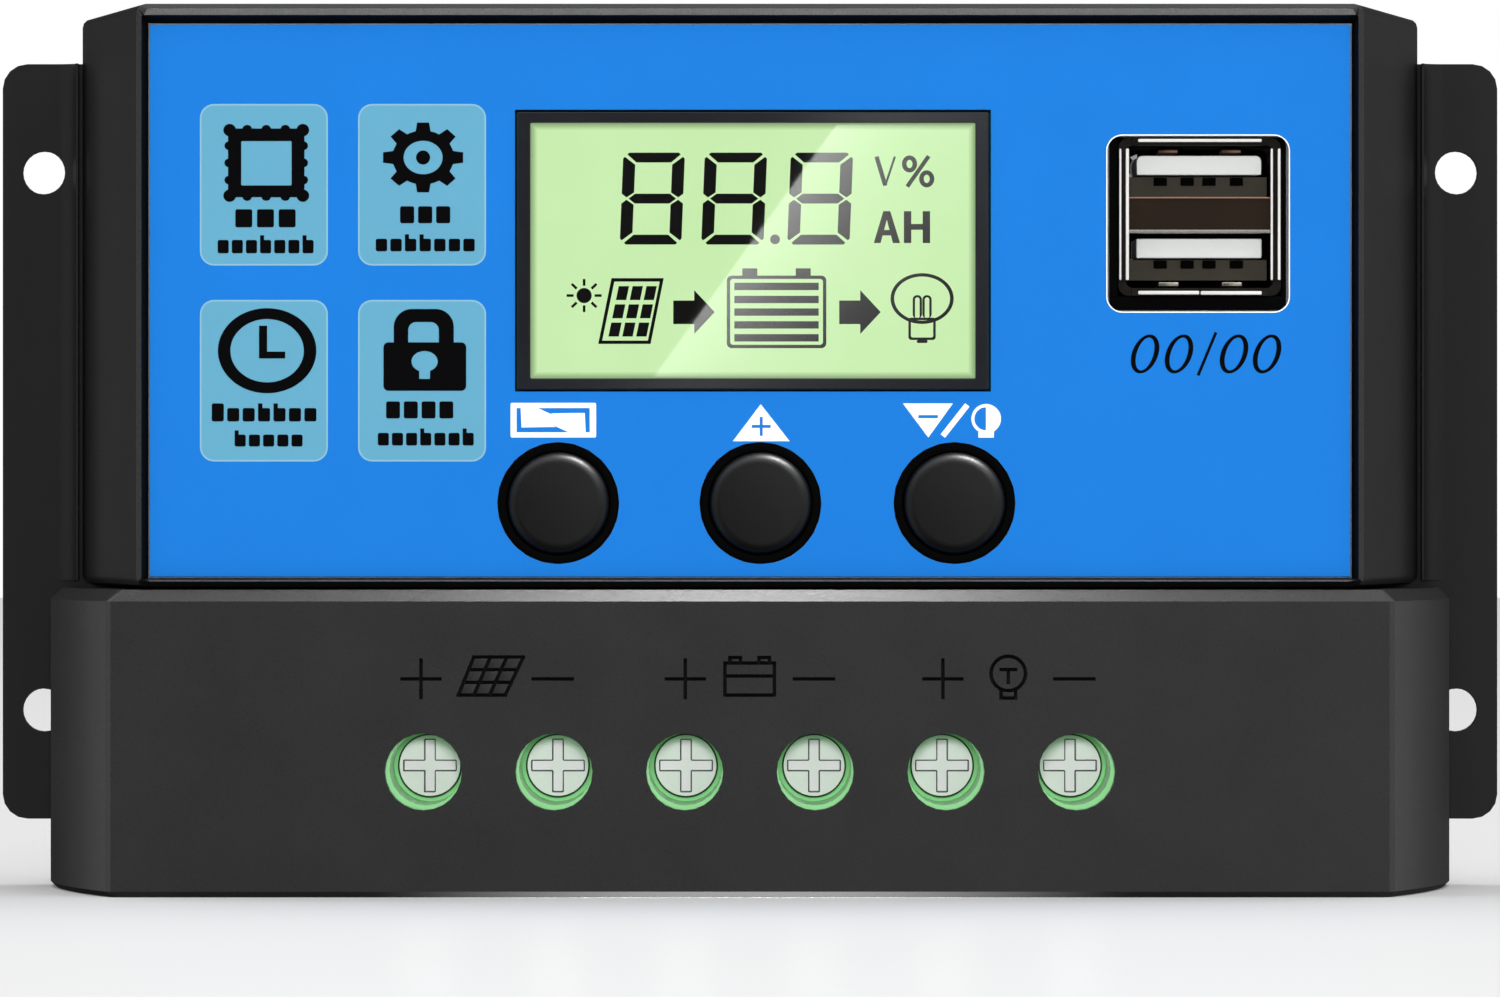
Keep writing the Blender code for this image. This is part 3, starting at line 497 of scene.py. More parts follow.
def dress_frame():
    """Every CAD node gets its finish, and eased edges; a few faces get a darker one: painted shade on the
    USB tongues' rear ends, and black edges on the display window.
    """
    for entry in frame["record"]["subparts"]:
        node = nodes[entry["node"]]
        node.data.materials.clear()
        node.data.materials.append(SLOTS[entry["material_slot"]])
        soften(node, EDGES.get(entry["node"], 0.06), smooth=entry["node"] not in FLAT)
    nodes["usb_divider"].data.materials[0] = brown
    # painted shade on the rear ends of the tongues, deep inside the sockets
    for port in ("upper", "lower"):
        tongue = nodes[f"usb_{port}_tongue"].data
        tongue.materials.append(painted_shade_black)
        for polygon in tongue.polygons:
            polygon.material_index = 1 if polygon.center.y > TONGUE_BASE_FRONT * MM else 0
    pane = nodes["lcd_window"].data
    pane.materials.append(trim)
    for polygon in pane.polygons:
        polygon.material_index = 0 if abs(polygon.normal.y) > 0.5 else 1


# ---- display cover, and terminal cover with its engraved signs --------------------------------------

RIM_GROWTH = 0.3
CHAMFER_RISE = 0.5


def groove(start, end, half=0.15, depth=0.34):
    """A bar sunk in the cover's face, for an engraved line; its walls lean a little."""
    (u0, v0), (u1, v1) = start, end
    length = math.hypot(u1 - u0, v1 - v0)
    reach_u, reach_v = (u1 - u0) / length * half, (v1 - v0) / length * half
    first, last = (u0 - reach_u, v0 - reach_v), (u1 + reach_u, v1 + reach_v)
    floor = stroke(first, last, half * 1.6)
    mouth = stroke(first, last, half * 2.0)
    return loft([ring_y(floor, FRONT + depth), ring_y(mouth, FRONT), ring_y(mouth, FRONT - 0.2)])


def chain(points, closed=True):
    ends = points[1:] + points[:1] if closed else points[1:]
    return [groove(a, b) for a, b in zip(points, ends)]


def between(ends, share):
    return ends[0] + (ends[1] - ends[0]) * share


def engraving():
    """A plus and a minus for each pair of screws, with a panel, a battery and a lamp between them."""
    rods = []
    reach, minus_reach = 1.64, 1.69
    bar_z = 18.9
    for u in (-28.45, -5.6, 16.68):
        rods += chain([(u - reach, bar_z), (u + reach, bar_z)], False)
        rods += chain([(u, 20.53), (u, 17.29)], False)
    for u in (-17.06, 5.53, 28.04):
        rods += chain([(u - minus_reach, bar_z), (u + minus_reach, bar_z)], False)

    top, low = 20.79, 17.5
    upper, lower = (-23.88, -19.6), (-25.22, -21.16)
    rods += chain([(upper[0], top), (upper[1], top), (lower[1], low), (lower[0], low)])
    for share in (1 / 3, 2 / 3):
        rods += chain([(between(upper, share), top), (between(lower, share), low)], False)
        ends = [(between((upper[i], lower[i]), share), between((top, low), share)) for i in (0, 1)]
        rods += chain(ends, False)

    left, right, top, low = -2.17, 2.11, 20.27, 17.5
    rods += chain([(left, top), (right, top), (right, low), (left, low)])
    rods += chain([(left, 19.15), (right, 19.15)], False)
    for u in (-1.74, 0.77):
        side = u + 0.91
        rods += chain([(u, 20.36), (u, 20.75), (side, 20.75), (side, 20.36)], False)

    middle, radius = 22.33, 1.49
    rods += chain(ellipse(middle, 19.37, radius, radius, 24))
    left, right, neck, end = 21.71, 22.96, 17.76, 17.24
    rods += chain([(left, neck), (left, end), (right, end), (right, neck)], False)
    rods += chain([(left, 19.71), (right, 19.71)], False)
    rods += chain([(middle, 19.71), (middle, 18.58)], False)
    return together(rods)


def shell(node):
    """A welded copy of a cover's mesh, which takes the cover's place."""
    holder = link(f"{node}_shell", nodes[node].data.copy())
    weld = holder.modifiers.new("weld", "WELD")
    weld.merge_threshold = 0.000002
    applied(holder)
    holder.data.materials.clear()
    holder.data.materials.append(case_plastic)
    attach(holder, "housing")
    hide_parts(node)
    return holder


def display_cover():
    """The display cover, with a fuller top rim, and painted shade on the slope round the label and on its
    side walls.
    """
    holder = shell("display_cover")
    for vertex in holder.data.vertices:
        if vertex.co.y < -0.0174 and 0.0765 < vertex.co.z < 0.0767:
            vertex.co.z -= RIM_GROWTH * MM
    holder.data.materials.append(groove_shade)
    holder.data.materials.append(shaded_case_side)
    for polygon in holder.data.polygons:
        x, y, z = polygon.center
        inside = abs(x) < 0.0527 and z < 0.0767
        sloped = y < -0.0165 and 0.3 < abs(polygon.normal.y) < 0.9 and polygon.normal.z < 0.3
        flank = abs(x) > 0.0533 and abs(polygon.normal.x) > 0.8
        polygon.material_index = 2 if flank else int(inside and sloped)
    soften(holder, 0.16)


def terminal_cover():
    """The terminal cover, with a steeper top chamfer and the engraved signs."""
    holder = shell("terminal_cover")
    for vertex in holder.data.vertices:
        if vertex.co.z > 0.0265 and vertex.co.y < -0.0163:
            vertex.co.y -= CHAMFER_RISE * MM
    # The faces of the engraved grooves get painted shade.
    carve(holder, "DIFFERENCE", engraving(), True, groove_shade)
    soften(holder, 0.05, angle=15)


# ---- push buttons and terminal screws ---------------------------------------------------------------

def buttons():
    dome = [(0.05, -17.34), (1.2, -17.33), (2.3, -17.28)]
    shoulder = arc(3.4, -16.25, 1.0, -90, 0, 10, 0.95)
    flange = [(4.4, -13.9), (5.0, -13.8), (5.0, -12.8), (0.05, -12.8)]
    for name, x in BUTTONS.items():
        shape = turned(x, BUTTON_Z, dome + shoulder + flange, 96)
        cap = link(f"{name}_button_dome", mesh_of("dome", shape))
        soften(cap, 0.0, flatten=0.0)
        place(cap, button_rubber, "black_trim", f"{name}_button")
        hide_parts(f"{name}_button_cap")


def button_collars():
    """A dark ring of painted shade round each button, which hides the gap in the panel."""
    front = [(4.60, -16.42), (5.12, -16.46), (5.24, -16.38)]
    back = [(5.24, -16.22), (4.56, -16.21), (4.56, -15.2), (4.48, -15.2), (4.48, -16.36)]
    for name, x in BUTTONS.items():
        collar = link(f"{name}_button_collar", mesh_of("collar", hollow(x, BUTTON_Z, front + back)))
        soften(collar, 0.0, flatten=0.0)
        place(collar, painted_shade_black, "case_plastic")


def terminal_screws():
    """Cross-slot screws; the bevels along their edges get painted shade, as an outline of the slots."""
    head = [(0.05, -4.1), (2.6, -4.1), (2.72, -4.07), (2.8, -3.98), (2.8, -2.7), (2.7, -2.6)]
    shank = [(1.9, -2.6), (1.9, 2.1), (1.8, 2.2), (0.05, 2.2)]
    half, reach = 0.46, 2.3
    for pole, x in zip(POLES, SCREW_X):
        cuts = [
            block(x - reach, x + reach, -5.0, -3.3, SCREW_Z - half, SCREW_Z + half),
            block(x - half, x + half, -5.0, -3.3, SCREW_Z - reach, SCREW_Z + reach),
        ]
        shape = turned(x, SCREW_Z, head + shank, 48)
        screw = solid(f"{pole}_screw_head", shape, zinc, "zinc_steel", f"{pole}_screw", 0.09, 2, cuts)
        screw.data.materials.append(slot_shade)
        screw.modifiers["round"].material = 1
        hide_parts(f"{pole}_screw")


# ---- label artwork ----------------------------------------------------------------------------------

TILES = [(-47.61, 6.85), (-33.92, 6.85), (-47.61, 23.81), (-33.92, 23.81)]
TILE_WIDTH = 11.08
TILE_HEIGHT = 13.99
TILE_BORDER = 0.14


def tiles():
    fills, borders = [], []
    for u, v in TILES:
        right, low = u + TILE_WIDTH, v + TILE_HEIGHT
        outer = rounded(u, right, v, low, 1.21)
        inner = rounded(u + TILE_BORDER, right - TILE_BORDER, v + TILE_BORDER, low - TILE_BORDER, 1.08)
        fills.append([art(inner)])
        borders.append([art(outer), art(inner)])
    printed("feature_tiles", fills, LABEL_FRONT - 0.02, 0.02, tile_blue, "blue_label")
    printed("feature_tile_borders", borders, LABEL_FRONT - 0.025, 0.025, tile_edge, "blue_label")


def chip_icon():
    """A thick frame with round bumps along its sides and larger ones at its corners."""
    outline = []
    left, right, top, low = -45.17, -38.56, 8.98, 14.93
    corners = [(left, top), (right, top), (right, low), (left, low)]
    steps = 80
    bump_height = 0.31
    for (u0, v0), (u1, v1) in zip(corners, corners[1:] + corners[:1]):
        length = math.hypot(u1 - u0, v1 - v0)
        out_u, out_v = (v1 - v0) / length, -(u1 - u0) / length
        for i in range(steps):
            share = i / steps
            swell = bump_height * math.sqrt(max(0.0, math.cos(share * 8 * math.pi)))
            outline.append((u0 + (u1 - u0) * share + out_u * swell, v0 + (v1 - v0) * share + out_v * swell))
    blobs = []
    for u in (left + 0.14, right - 0.14):
        for v in (top + 0.14, low - 0.14):
            blobs.append([art(ellipse(u, v, 0.55, 0.54, 24))])
    hole = rounded(-44.03, -39.67, 10.07, 13.91, 0.1)
    return [[art(outline), art(hole)]] + blobs


def gear_icon():
    u, v = -28.29, 11.49
    radius_u, radius_v = 3.5, 3.05
    outline = []
    for tooth in range(8):
        for offset, scale in ((-14.0, 0.765), (-8.5, 1.0), (8.5, 1.0), (14.0, 0.765)):
            a = math.radians(45 * tooth + offset)
            outline.append((u + radius_u * scale * math.cos(a), v + radius_v * scale * math.sin(a)))
        for offset in (18.5, 22.5, 26.5):
            a = math.radians(45 * tooth + offset)
            outline.append((u + radius_u * 0.757 * math.cos(a), v + radius_v * 0.767 * math.sin(a)))
    return [[art(outline), art(ellipse(u, v, 1.69, 1.45))], [art(ellipse(u, v, 0.61, 0.61))]]


def clock_icon():
    u, v = -41.79, 28.21
    ring = [art(ellipse(u, v, 4.26, 3.68, 72)), art(ellipse(u, v, 3.18, 2.74, 72))]
    left, top = -42.49, 26.05
    reach, low = -40.22, 28.88
    hands = [(left, top), (u, top), (u, 28.29), (reach, 28.29), (reach, low), (left, low)]
    return [ring, [art(hands)]]


def padlock_icon():
    keyhole = arc(-28.16, 29.14, 1.14, 115, 425, 28, 0.9)
    keyhole += [(-27.7, 30.65), (-28.62, 30.65)]
    body = [art(rounded(-31.72, -24.56, 27.49, 31.68, 0.43)), art(keyhole)]
    low = 27.75
    shackle = arc(-29.27, 26.16, 1.56, 180, 270, 10) + arc(-27.2, 26.16, 1.56, 270, 360, 10)
    shackle += [(-25.64, low), (-26.93, low)]
    shackle += arc(-27.62, 26.42, 0.69, 360, 270, 8) + arc(-28.89, 26.42, 0.69, 270, 180, 8)
    shackle += [(-29.58, low), (-30.83, low)]
    return [body, [art(shackle)]]


def caption(u0, u1, v0, v1, marks):
    """A line of small blocks standing for a caption: a tall block, a low one, or one with a stem."""
    step = (u1 - u0) / len(marks)
    blocks = []
    for i, mark in enumerate(marks):
        left, right = u0 + (i + 0.09) * step, u0 + (i + 0.87) * step
        top = v0 if mark == "T" else v1 - (v1 - v0) * 0.74
        blocks.append([art(rounded(left, right, top, v1, 0.16, 3))])
        if mark == "s":
            blocks.append([art(rectangle(left, left + step * 0.28, v0, v1 - 0.17))])
    return blocks


def feature_icons():
    chip = chip_icon()
    chip += caption(-44.71, -39.08, 15.97, 17.53, "TTT")
    chip += caption(-46.18, -37.61, 18.22, 19.78, "ooosoos")
    gear = gear_icon()
    gear += caption(-30.42, -25.74, 15.71, 17.18, "TTT")
    gear += caption(-32.5, -23.66, 18.14, 19.61, "oossooo")
    clock = clock_icon()
    clock += caption(-46.7, -37.35, 32.77, 34.33, "Toossoo")
    clock += caption(-44.71, -38.56, 35.11, 36.5, "soooo")
    lock = padlock_icon()
    lock += caption(-31.63, -25.48, 32.6, 34.07, "TTTT")
    lock += caption(-32.32, -23.75, 34.94, 36.41, "ooosoos")
    for name, groups in (("chip", chip), ("gear", gear), ("clock", clock), ("padlock", lock)):
        printed(f"{name}_icon", groups, LABEL_FRONT - 0.05, 0.02, black_ink, "blue_label")


def menu_sign():
    """A frame round two pointed arrows, one the other turned half round."""
    left, right, top, low = -20.72, -13.32, 32.72, 35.72
    first = [
        (-20.2, 33.17), (-19.85, 33.17), (-19.77, 34.85), (-16.82, 34.81),
        (-17.47, 34.46), (-15.7, 35.27), (-20.2, 35.27),
    ]
    second = [(left + right - u - 0.03, top + low - v) for u, v in first]
    return [[art(rounded(left, right, top, low, 0.13)), art(first), art(second)]]


def up_sign():
    """A triangle with a plus cut out of it."""
    u, v = 0.97, 34.76
    half, reach = 0.13, 0.82
    plus = []
    for side_u, side_v in ((-1, -1), (1, -1), (1, 1), (-1, 1)):
        upright = (u + side_u * half, v + side_v * reach)
        corner = (u + side_u * half, v + side_v * half)
        level = (u + side_u * reach, v + side_v * half)
        plus += [level, corner, upright] if side_u == side_v else [upright, corner, level]
    triangle = [(0.93, 32.84), (3.43, 36.04), (-1.48, 36.04)]
    return [[art(triangle), art(plus)]]


def down_sign():
    """A triangle with a minus cut out of it, a stroke, and a bulb that is half filled."""
    triangle = [(13.23, 32.77), (17.56, 32.77), (15.43, 35.72)]
    minus = rectangle(14.57, 16.26, 33.78, 34.05)
    slash = stroke((16.69, 35.59), (18.81, 32.9), 0.48)
    bulb = ellipse(20.44, 34.1, 1.28)
    half = arc(20.42, 34.1, 1, 90, 270, 16)
    cap = rectangle(19.77, 21.11, 35.2, 35.73)
    return [[art(triangle), art(minus)], [art(slash)], [art(bulb), art(half)], [art(cap)]]


def button_icons():
    groups = menu_sign() + up_sign() + down_sign()
    printed("button_signs", groups, LABEL_FRONT - 0.02, 0.02, white_ink, "blue_label")


def rating_marks():
    """Two pairs of leaning rings and a stroke in place of the socket's rating."""
    groups = []
    middle = 28.49
    for u in (34.19, 37.13, 41.89, 44.75):
        ring = [ellipse(u, middle, 1.17, 1.69, 32), ellipse(u, middle, 0.74, 1.42, 32)]
        groups.append([art(slanted(loop, middle, 0.25)) for loop in ring])
    groups.append([art(stroke((38.78, 30.35), (40.33, 26.62), 0.26))])
    printed("socket_marks", groups, LABEL_FRONT - 0.02, 0.02, black_ink, "blue_label")


def cutout_outline():
    left, right, top, low = 30.83, 46.73, 9.49, 24.92
    line = 0.1
    outer = rounded(left, right, top, low, 1.39, 8)
    inner = rounded(left + line, right - line, top + line, low - line, 1.3, 8)
    outline = [[art(outer), art(inner)]]
    printed("socket_outline", outline, LABEL_FRONT - 0.02, 0.02, white_ink, "blue_label")


# ---- display ----------------------------------------------------------------------------------------

def digit(u0, u1, v0, v1):
    """The seven segments of an 8, leaned a little."""
    middle = (v0 + v1) / 2
    wide, high, gap, corner = 1.07, 0.85, 0.1, 0.52
    half, meet = high / 2, corner / 2
    tip, shoulder = 0.61, wide + 0.09
    top = [
        (u0 + corner, v0), (u1 - corner, v0), (u1 - meet - gap, v0 + meet - gap),
        (u1 - wide - gap, v0 + high), (u0 + wide + gap, v0 + high), (u0 + meet + gap, v0 + meet - gap),
    ]
    bar = [
        (u0 + tip, middle), (u0 + shoulder, middle - half), (u1 - shoulder, middle - half),
        (u1 - tip, middle), (u1 - shoulder, middle + half), (u0 + shoulder, middle + half),
    ]
    left = [
        (u0, v0 + corner), (u0 + meet - gap, v0 + meet + gap), (u0 + wide, v0 + high + 2 * gap),
        (u0 + wide, middle - half - gap), (u0 + 0.43, middle - gap), (u0, middle - half),
    ]
    low = [(u, v0 + v1 - v) for u, v in reversed(top)]
    right = [(u0 + u1 - u, v) for u, v in reversed(left)]
    lower_left = [(u, 2 * middle - v) for u, v in reversed(left)]
    lower_right = [(u, 2 * middle - v) for u, v in reversed(right)]
    parts = (top, low, bar, left, right, lower_left, lower_right)
    return [[art(slanted(part, v1, 0.04))] for part in parts]


def unit_signs():
    """The signs V, % and AH."""
    groups = [
        [art(stroke((10.96, 11.38), (11.72, 13.89), 0.38))],
        [art(stroke((11.72, 13.89), (12.55, 11.38), 0.19))],
        [art(stroke((13.62, 13.98), (15.48, 11.34), 0.36))],
    ]
    for u, v in ((13.82, 12.02), (15.31, 13.31)):
        groups.append([art(ellipse(u, v, 0.66, 0.74, 24)), art(ellipse(u, v, 0.26, 0.36, 24))])
    top, low = 16.11, 18.87
    peak = [
        (10.72, low), (11.55, top), (12.15, top), (13, low),
        (12.38, low), (11.85, 16.84), (11.31, low),
    ]
    bars = (
        (11.19, 12.54, 17.74, 18.21),
        (13.33, 13.97, top, low),
        (14.96, 15.6, top, low),
        (13.92, 15.05, 17.22, 17.72),
    )
    return groups + [[art(peak)]] + [[art(rectangle(*bar))] for bar in bars]


def sun_sign():
    u, v = -14.37, 23.42
    groups = [[art(ellipse(u, v, 0.66, 0.66, 24))]]
    for i in range(8):
        a = math.radians(45 * i)
        start = (u + 0.91 * math.cos(a), v + 0.85 * math.sin(a))
        end = (u + 1.52 * math.cos(a), v + 1.43 * math.sin(a))
        groups.append([art(stroke(start, end, 0.23))])
    return groups


def panel_sign():
    panel = [(-12, 21.91), (-7.47, 21.91), (-8.61, 27.61), (-13.15, 27.61)]
    inner = [(-11.75, 22.21), (-7.82, 22.21), (-8.85, 27.32), (-12.8, 27.32)]
    groups = [[art(panel), art(inner)]]
    first_u, first_v = -11.37, 22.6
    width, height = 0.9, 1.21
    for row in range(3):
        for column in range(3):
            v0 = first_v + row * 1.58
            v1 = v0 + height
            cell = []
            for v, side in ((v0, 0), (v0, 1), (v1, 1), (v1, 0)):
                left = first_u - (v - first_v) * 0.205 + column * 1.2
                cell.append((left + side * width, v))
            groups.append([art(cell)])
    return groups


def arrow_sign(u):
    neck, tip = u + 1.82, u + 3.59
    arrow = [
        (u, 23.85), (neck, 23.85), (neck, 22.95), (tip, 24.85),
        (neck, 26.75), (neck, 25.89), (u, 25.89),
    ]
    return [[art(arrow)]]


def battery_sign():
    left, right, top, low = -2.01, 6.61, 21.69, 27.98
    line = 0.29
    inner = rounded(left + line, right - line, top + line, low - line, 0.26)
    groups = [[art(rounded(left, right, top, low, 0.43)), art(inner)]]
    for u in (-0.67, 3.96):
        groups.append([art(rectangle(u, u + 1.3, 21.06, top))])
    for v in (22.31, 23.44, 24.53, 25.64, 26.76):
        groups.append([art(rectangle(-1.36, 5.95, v, v + 0.64))])
    return groups


def lamp_sign():
    u, v = 14.91, 23.68
    groups = [[art(ellipse(u, v, 2.74, 2.2, 48)), art(ellipse(u, v, 2.42, 1.91, 48))]]
    left, right, top, low = 13.72, 16.09, 25.33, 27.27
    line = 0.22
    inner = rounded(left + line, right - line, top + line, low - line, 0.17)
    groups.append([art(rounded(left, right, top, low, 0.26)), art(inner)])
    groups.append([art(rounded(14.44, 15.39, low, 27.53, 0.12, 3))])
    line = 0.21
    for start in (14.09, 14.93):
        end = start + 0.81
        outer = rounded(start, end, 23.38, 25.41, 0.38)
        inner = rounded(start + line, end - line, 23.58, 25.41, 0.19)
        groups.append([art(outer), art(inner)])
    return groups


def flow_signs():
    """Sun, panel, battery and lamp, with arrows between them."""
    signs = sun_sign() + panel_sign()
    for u in (-6.65, 7.73):
        signs += arrow_sign(u)
    return signs + battery_sign() + lamp_sign()


def display_segments():
    groups = []
    for u0, u1 in ((-11.29, -5.95), (-4.23, 1.17), (3.22, 8.62)):
        groups += digit(u0, u1, 11.04, 19)
    groups.append([art(ellipse(2.17, 18.55, 0.43, 0.43, 20))])
    for name, drawn in (("digits", groups), ("units", unit_signs()), ("flow", flow_signs())):
        printed(f"lcd_{name}", drawn, LCD_INK_FRONT, 0.04, lcd_ink, "lcd_glass")


# ---- USB sockets ------------------------------------------------------------------------------------

def usb_frame_outline(x, z, half_width, half_height, radius):
    return rounded(x - half_width, x + half_width, z - half_height, z + half_height, radius, 6)


def usb_sleeve(x, z):
    """The sheet-metal sleeve, with its mouth flared into four lips; its faces get painted shade and its lip
    edges a painted highlight.
    """
    outer = along_y(usb_frame_outline(x, z, 7.05, 6.85, 0.9), -16.3, 8.9)
    inner = loft([
        ring_y(usb_frame_outline(x, z, 7.02, 6.82, 0.88), -16.36),
        ring_y(usb_frame_outline(x, z, 6.96, 6.76, 0.85), -16.26),
        ring_y(usb_frame_outline(x, z, 6.40, 6.20, 0.6), -15.75),
        ring_y(usb_frame_outline(x, z, 6.36, 6.16, 0.6), -15.6),
        ring_y(usb_frame_outline(x, z, 6.36, 6.16, 0.6), 9.2),
    ])
    corners = []
    for side_x in (-1, 1):
        for side_z in (-1, 1):
            u0, u1 = sorted((x + side_x * 5.9, x + side_x * 7.4))
            v0, v1 = sorted((z + side_z * 5.6, z + side_z * 7.2))
            corners.append(block(u0, u1, -17.0, -15.75, v0, v1))
    seam = block(x - 0.08, x + 0.08, -17.0, -15.7, z - 7.2, z - 6.0)
    sleeve = link("usb_sleeve", mesh_of("usb_sleeve", outer))
    carve(sleeve, "DIFFERENCE", inner)
    carve(sleeve, "DIFFERENCE", together(corners + [seam]))
    soften(sleeve, 0.07, 3)
    place(sleeve, painted_shade_nickel, "nickel_shell")
    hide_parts("usb_shell")
    # thin bars along the lips that carry the painted highlight
    bars = [
        block(x - 5.35, x + 5.35, -16.5, -16.2, z + 6.46, z + 6.74),
        block(x - 5.35, x - 0.06, -16.5, -16.2, z - 6.74, z - 6.42),
        block(x + 0.06, x + 5.35, -16.5, -16.2, z - 6.76, z - 6.44),
    ]
    for u0, u1 in ((-6.98, -6.80), (-6.42, -6.14), (6.12, 6.32), (6.74, 6.98)):
        bars.append(block(x + u0, x + u1, -16.45, -16.15, z - 5.5, z + 5.9))
    solid("usb_sleeve_highlights", together(bars), edge_highlight, "nickel_shell", width=0.10, segments=3)


def usb_surround(x, z):
    """Strips of painted shade that close the gap between the sleeve and the panel's opening."""
    left, right = x - 7.12, x + 7.12
    low = z - 6.92
    strips = [
        block(31.15, left, -15.9, -15.6, low + 0.02, 65.7),
        block(right, 46.35, -15.9, -15.6, low + 0.02, 65.7),
        block(31.15, 46.35, -15.9, -15.6, 50.85, low),
    ]
    solid("usb_surround", together(strips), painted_shade_black, "black_trim", width=0.02)


def usb_insides(x):
    """The white fronts of the tongues, with blocks of painted shade for the contacts' slots below each."""
    backs, slots = [], []
    for port, z in USB_TONGUES.items():
        backs.append(block(x - 6.0, x + 6.0, -11.6, -11.0, z - 2.75, z - 0.95))
        for offset in (-3.29, -0.95, 0.95, 3.33):
            left = x + offset - 0.56
            slots.append(block(left, left + 1.12, -12.6, -11.5, z - 1.70, z - 1.02))
        outline = [(x - 5.4, z - 0.83), (x + 5.4, z - 0.83)]
        outline += arc(x + 4.9, z + 0.33, 0.5, 0, 90, 5) + arc(x - 4.9, z + 0.33, 0.5, 90, 180, 5)
        face = along_y(outline, -14.32, -13.6)
        solid(f"usb_tongue_{port}_face", face, white_plastic, "white_insulator", width=0.08)
    solid("usb_contact_backs", together(backs), grey_resin, "black_resin", width=0.05)
    solid("usb_contacts", together(slots), painted_shade_black, "tinned_brass", width=0.04)


def usb_metalwork(x):
    """The springs that hold a plug, and the bright edges of the divider."""
    lower, upper = [], []
    for offset in (-3.55, 1.95):
        left, right = x + offset, x + offset + 1.75
        lower.append(block(left, right, -15.3, -9.0, 52.86, 53.25))
        upper.append(block(left, right, -13.5, -9.0, 64.45, 64.85))
    solid("usb_lower_springs", together(lower), tin, "nickel_shell", width=0.08)
    solid("usb_upper_springs", together(upper), copper, "nickel_shell", width=0.08)
    lower_edge = block(x - 6.3, x + 6.3, -15.98, -15.78, 57.45, 57.78)
    solid("usb_divider_lower_edge", lower_edge, nickel, "nickel_shell", width=0.06)
    upper_edge = block(x - 6.3, x + 6.3, -15.95, -15.78, 60.44, 60.62)
    solid("usb_divider_upper_edge", upper_edge, copper, "nickel_shell", width=0.05)


# ---- studio -----------------------------------------------------------------------------------------

def studio_world():
    """White to the camera; for lighting, a soft room that is brightest overhead and in front."""
    world = bpy.data.worlds.new("studio")
    bpy.context.scene.world = world
    world.use_nodes = True
    tree = world.node_tree
    tree.nodes.clear()

    def add(kind, inputs=None, **settings):
        node = tree.nodes.new(kind)
        for key, value in settings.items():
            setattr(node, key, value)
        for key, value in (inputs or {}).items():
            if isinstance(value, bpy.types.NodeSocket):
                tree.links.new(value, node.inputs[key])
            else:
                node.inputs[key].default_value = value
        return node

    def ramp(value, start, end, low, high):
        settings = {"From Min": start, "From Max": end, "To Min": low, "To Max": high, "Value": value}
        return add("ShaderNodeMapRange", settings, interpolation_type="SMOOTHSTEP").outputs["Result"]

    direction = add("ShaderNodeSeparateXYZ", {0: add("ShaderNodeTexCoord").outputs["Generated"]})
    x, y, z = direction.outputs
    aside = add("ShaderNodeMath", {0: x}, operation="ABSOLUTE").outputs[0]
    beside = [ramp(aside, 0.55, 0.74, 0.0, 0.9), ramp(y, 0.0, 0.2, 0.4, 1.0)]
    ahead = [ramp(x, -0.12, 0.14, 0.0, 0.42), ramp(y, -0.82, -0.97, 0.0, 1.0)]
    parts = [
        ramp(y, -0.3, -0.9, 0.0, 0.07),
        add("ShaderNodeMath", {0: ahead[0], 1: ahead[1]}, operation="MULTIPLY").outputs[0],
        ramp(z, 0.35, 0.80, 0.0, 1.15),
        ramp(x, -0.3, 0.5, 0.01, 0.05),
        add("ShaderNodeMath", {0: beside[0], 1: beside[1]}, operation="MULTIPLY").outputs[0],
    ]
    total = parts[0]
    for part in parts[1:]:
        total = add("ShaderNodeMath", {0: total, 1: part}, operation="ADD").outputs[0]
    room = add("ShaderNodeBackground", {"Color": (1, 1, 1, 1), "Strength": total})
    white = add("ShaderNodeBackground", {"Color": (1, 1, 1, 1), "Strength": 1.0})
    seen = add("ShaderNodeLightPath").outputs["Is Camera Ray"]
    mix = add("ShaderNodeMixShader", {0: seen, 1: room.outputs[0], 2: white.outputs[0]})
    add("ShaderNodeOutputWorld", {"Surface": mix.outputs[0]})


def softbox(name, at, target, size, power):
    light = bpy.data.lights.new(name, "AREA")
    light.shape = "RECTANGLE"
    light.size, light.size_y = size
    light.energy = power
    holder = link(name, light)
    holder.location = at
    aim = Vector(target) - Vector(at)
    holder.rotation_euler = aim.to_track_quat("-Z", "Y").to_euler()
    holder.visible_camera = False
    return holder


def shine_on(names, light):
    """Keeps a light to the shine of a few pieces."""
    light.visible_diffuse = False
    light.visible_transmission = False
    group = bpy.data.collections.new(f"{light.name}_pieces")
    for name in names:
        group.objects.link(bpy.data.objects[name])
    light.light_linking.receiver_collection = group


def lights():
    softbox("right_key", (0.45, -0.85, 0.62), (0, 0, 0.04), (0.34, 0.34), 1.2)
    softbox("left_fill", (-0.75, -0.85, 0.35), (0, 0, 0.04), (0.5, 0.5), 0.15)
    front_light = softbox("front_light", (0.0, -1.10, 0.09), (0, 0, 0.03), (0.12, 0.06), 8.3)
    front_light.visible_glossy = False
    front_light.visible_transmission = False
    ceiling = softbox("ceiling", (0.0, 0.2, 1.4), (0, 0.2, 0), (1.4, 1.4), 4.6)
    ceiling.visible_glossy = False
    edge_light = softbox("edge_light", (0.0, -0.117, 0.137), (0, -0.017, 0.026), (0.03, 0.03), 0.14)
    shine_on(["terminal_cover_shell"], edge_light)
    rim_light = softbox("rim_light", (0.0, -1.0, 0.14), (0, 0, 0.07), (0.5, 0.06), 2.2)
    shine_on(["display_cover_shell"], rim_light)
    button_light = softbox("button_light", (0.15, -0.10, 0.42), (0, -0.017, 0.034), (0.14, 0.14), 4.0)
    shine_on([f"{name}_button_dome" for name in BUTTONS], button_light)


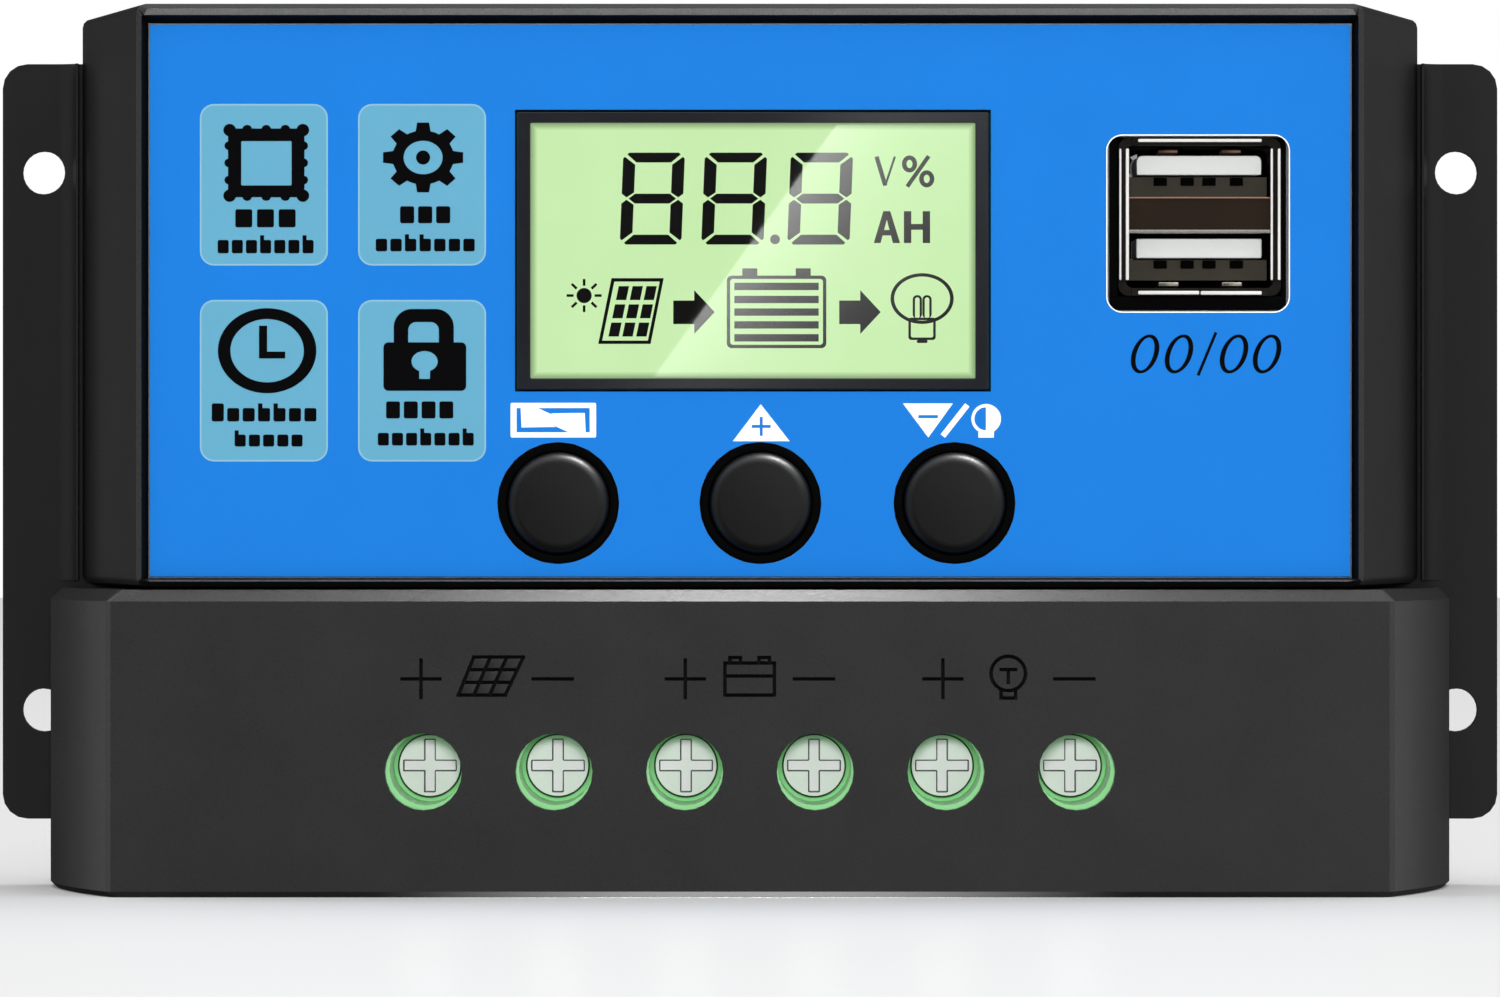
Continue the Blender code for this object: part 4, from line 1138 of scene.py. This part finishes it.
def sheet(name, corners, finish_nodes, hidden):
    """A flat piece of the studio, hidden from some kinds of rays."""
    mesh = bpy.data.meshes.new(name)
    mesh.from_pydata(corners, [], [(0, 1, 2, 3)])
    mesh.materials.append(finish_nodes.material)
    holder = link(name, mesh)
    for kind in hidden:
        setattr(holder, f"visible_{kind}", False)


def floor_sheen():
    """A bright patch of floor in front, seen only in the shine of the lowest edge."""
    n = Nodes("sheen_light")
    away = n.math("ABSOLUTE", n.apart()[0])
    settings = {"Value": away, "From Min": 0.004, "From Max": 0.034, "To Min": 6.5, "To Max": 0.0}
    n.emit(n.add("ShaderNodeMapRange", settings, interpolation_type="SMOOTHSTEP").outputs["Result"])
    corners = [(x, y, 0.00002) for x, y in rectangle(-0.05, 0.05, -0.0177, -0.0167)]
    sheet("floor_sheen", corners, n, ("camera", "diffuse", "shadow", "transmission"))


def glare_panel():
    """A leaning panel behind the camera, whose reflection crosses the display."""
    y = -2.0
    edge_low, edge_high = Vector((-0.0269, y, 0.0631)), Vector((0.0248, y, 0.1344))
    run = edge_high - edge_low
    low, high = edge_low - run * 1.5, edge_high + run * 1.5
    bright, dark = Vector((0.13, 0, 0)), Vector((-0.22, 0, 0))
    lean = run.x / run.z
    start = edge_low.x - edge_low.z * lean
    fade_length, blur = 0.026, 0.0004
    n = Nodes("glare_light")
    x, _, z = n.apart()
    along = n.math("MULTIPLY_ADD", z, -lean, x)
    scaled = n.math("MULTIPLY_ADD", along, -1 / fade_length, start / fade_length)
    fade = n.math("EXPONENT", scaled, use_clamp=True)
    edge = n.spread(along, 0.02, 1.0, (start - blur, start + blur))
    tall = n.spread(z, 2.2, 3.4, (0.04, 0.14))
    n.emit(n.math("MULTIPLY", n.math("MULTIPLY", fade, edge), tall))
    corners = [low + dark, low + bright, high + bright, high + dark]
    sheet("glare_panel", corners, n, ("camera", "diffuse", "shadow"))


def floor():
    n = Nodes("pale_floor")
    matt = n.add("ShaderNodeBsdfDiffuse", {"Color": (0.95, 0.95, 0.95, 1)})
    shine = n.add("ShaderNodeBsdfGlossy", {"Roughness": 0.16})
    mix = n.add("ShaderNodeMixShader", {0: 0.28, 1: matt.outputs[0], 2: shine.outputs[0]})
    n.add("ShaderNodeOutputMaterial", {"Surface": mix.outputs[0]})
    sheet("floor", [(-3, -4, 0), (3, -4, 0), (3, 3, 0), (-3, 3, 0)], n, ("glossy",))


def camera():
    data = bpy.data.cameras.new("camera")
    data.lens = 277.0
    data.sensor_width = 36.0
    data.clip_start = 0.01
    holder = link("camera", data)
    holder.location = (0.0, -1.0155, 0.0345)
    holder.rotation_euler = (math.radians(90), 0, 0)
    bpy.context.scene.camera = holder


dress_frame()
display_cover()
terminal_cover()
buttons()
button_collars()
terminal_screws()
tiles()
feature_icons()
button_icons()
rating_marks()
cutout_outline()
display_segments()
usb_sleeve(USB_X, USB_Z)
usb_surround(USB_X, USB_Z)
usb_insides(USB_X)
usb_metalwork(USB_X)

studio_world()
lights()
floor_sheen()
glare_panel()
floor()
camera()
bpy.context.scene.view_settings.view_transform = "Standard"
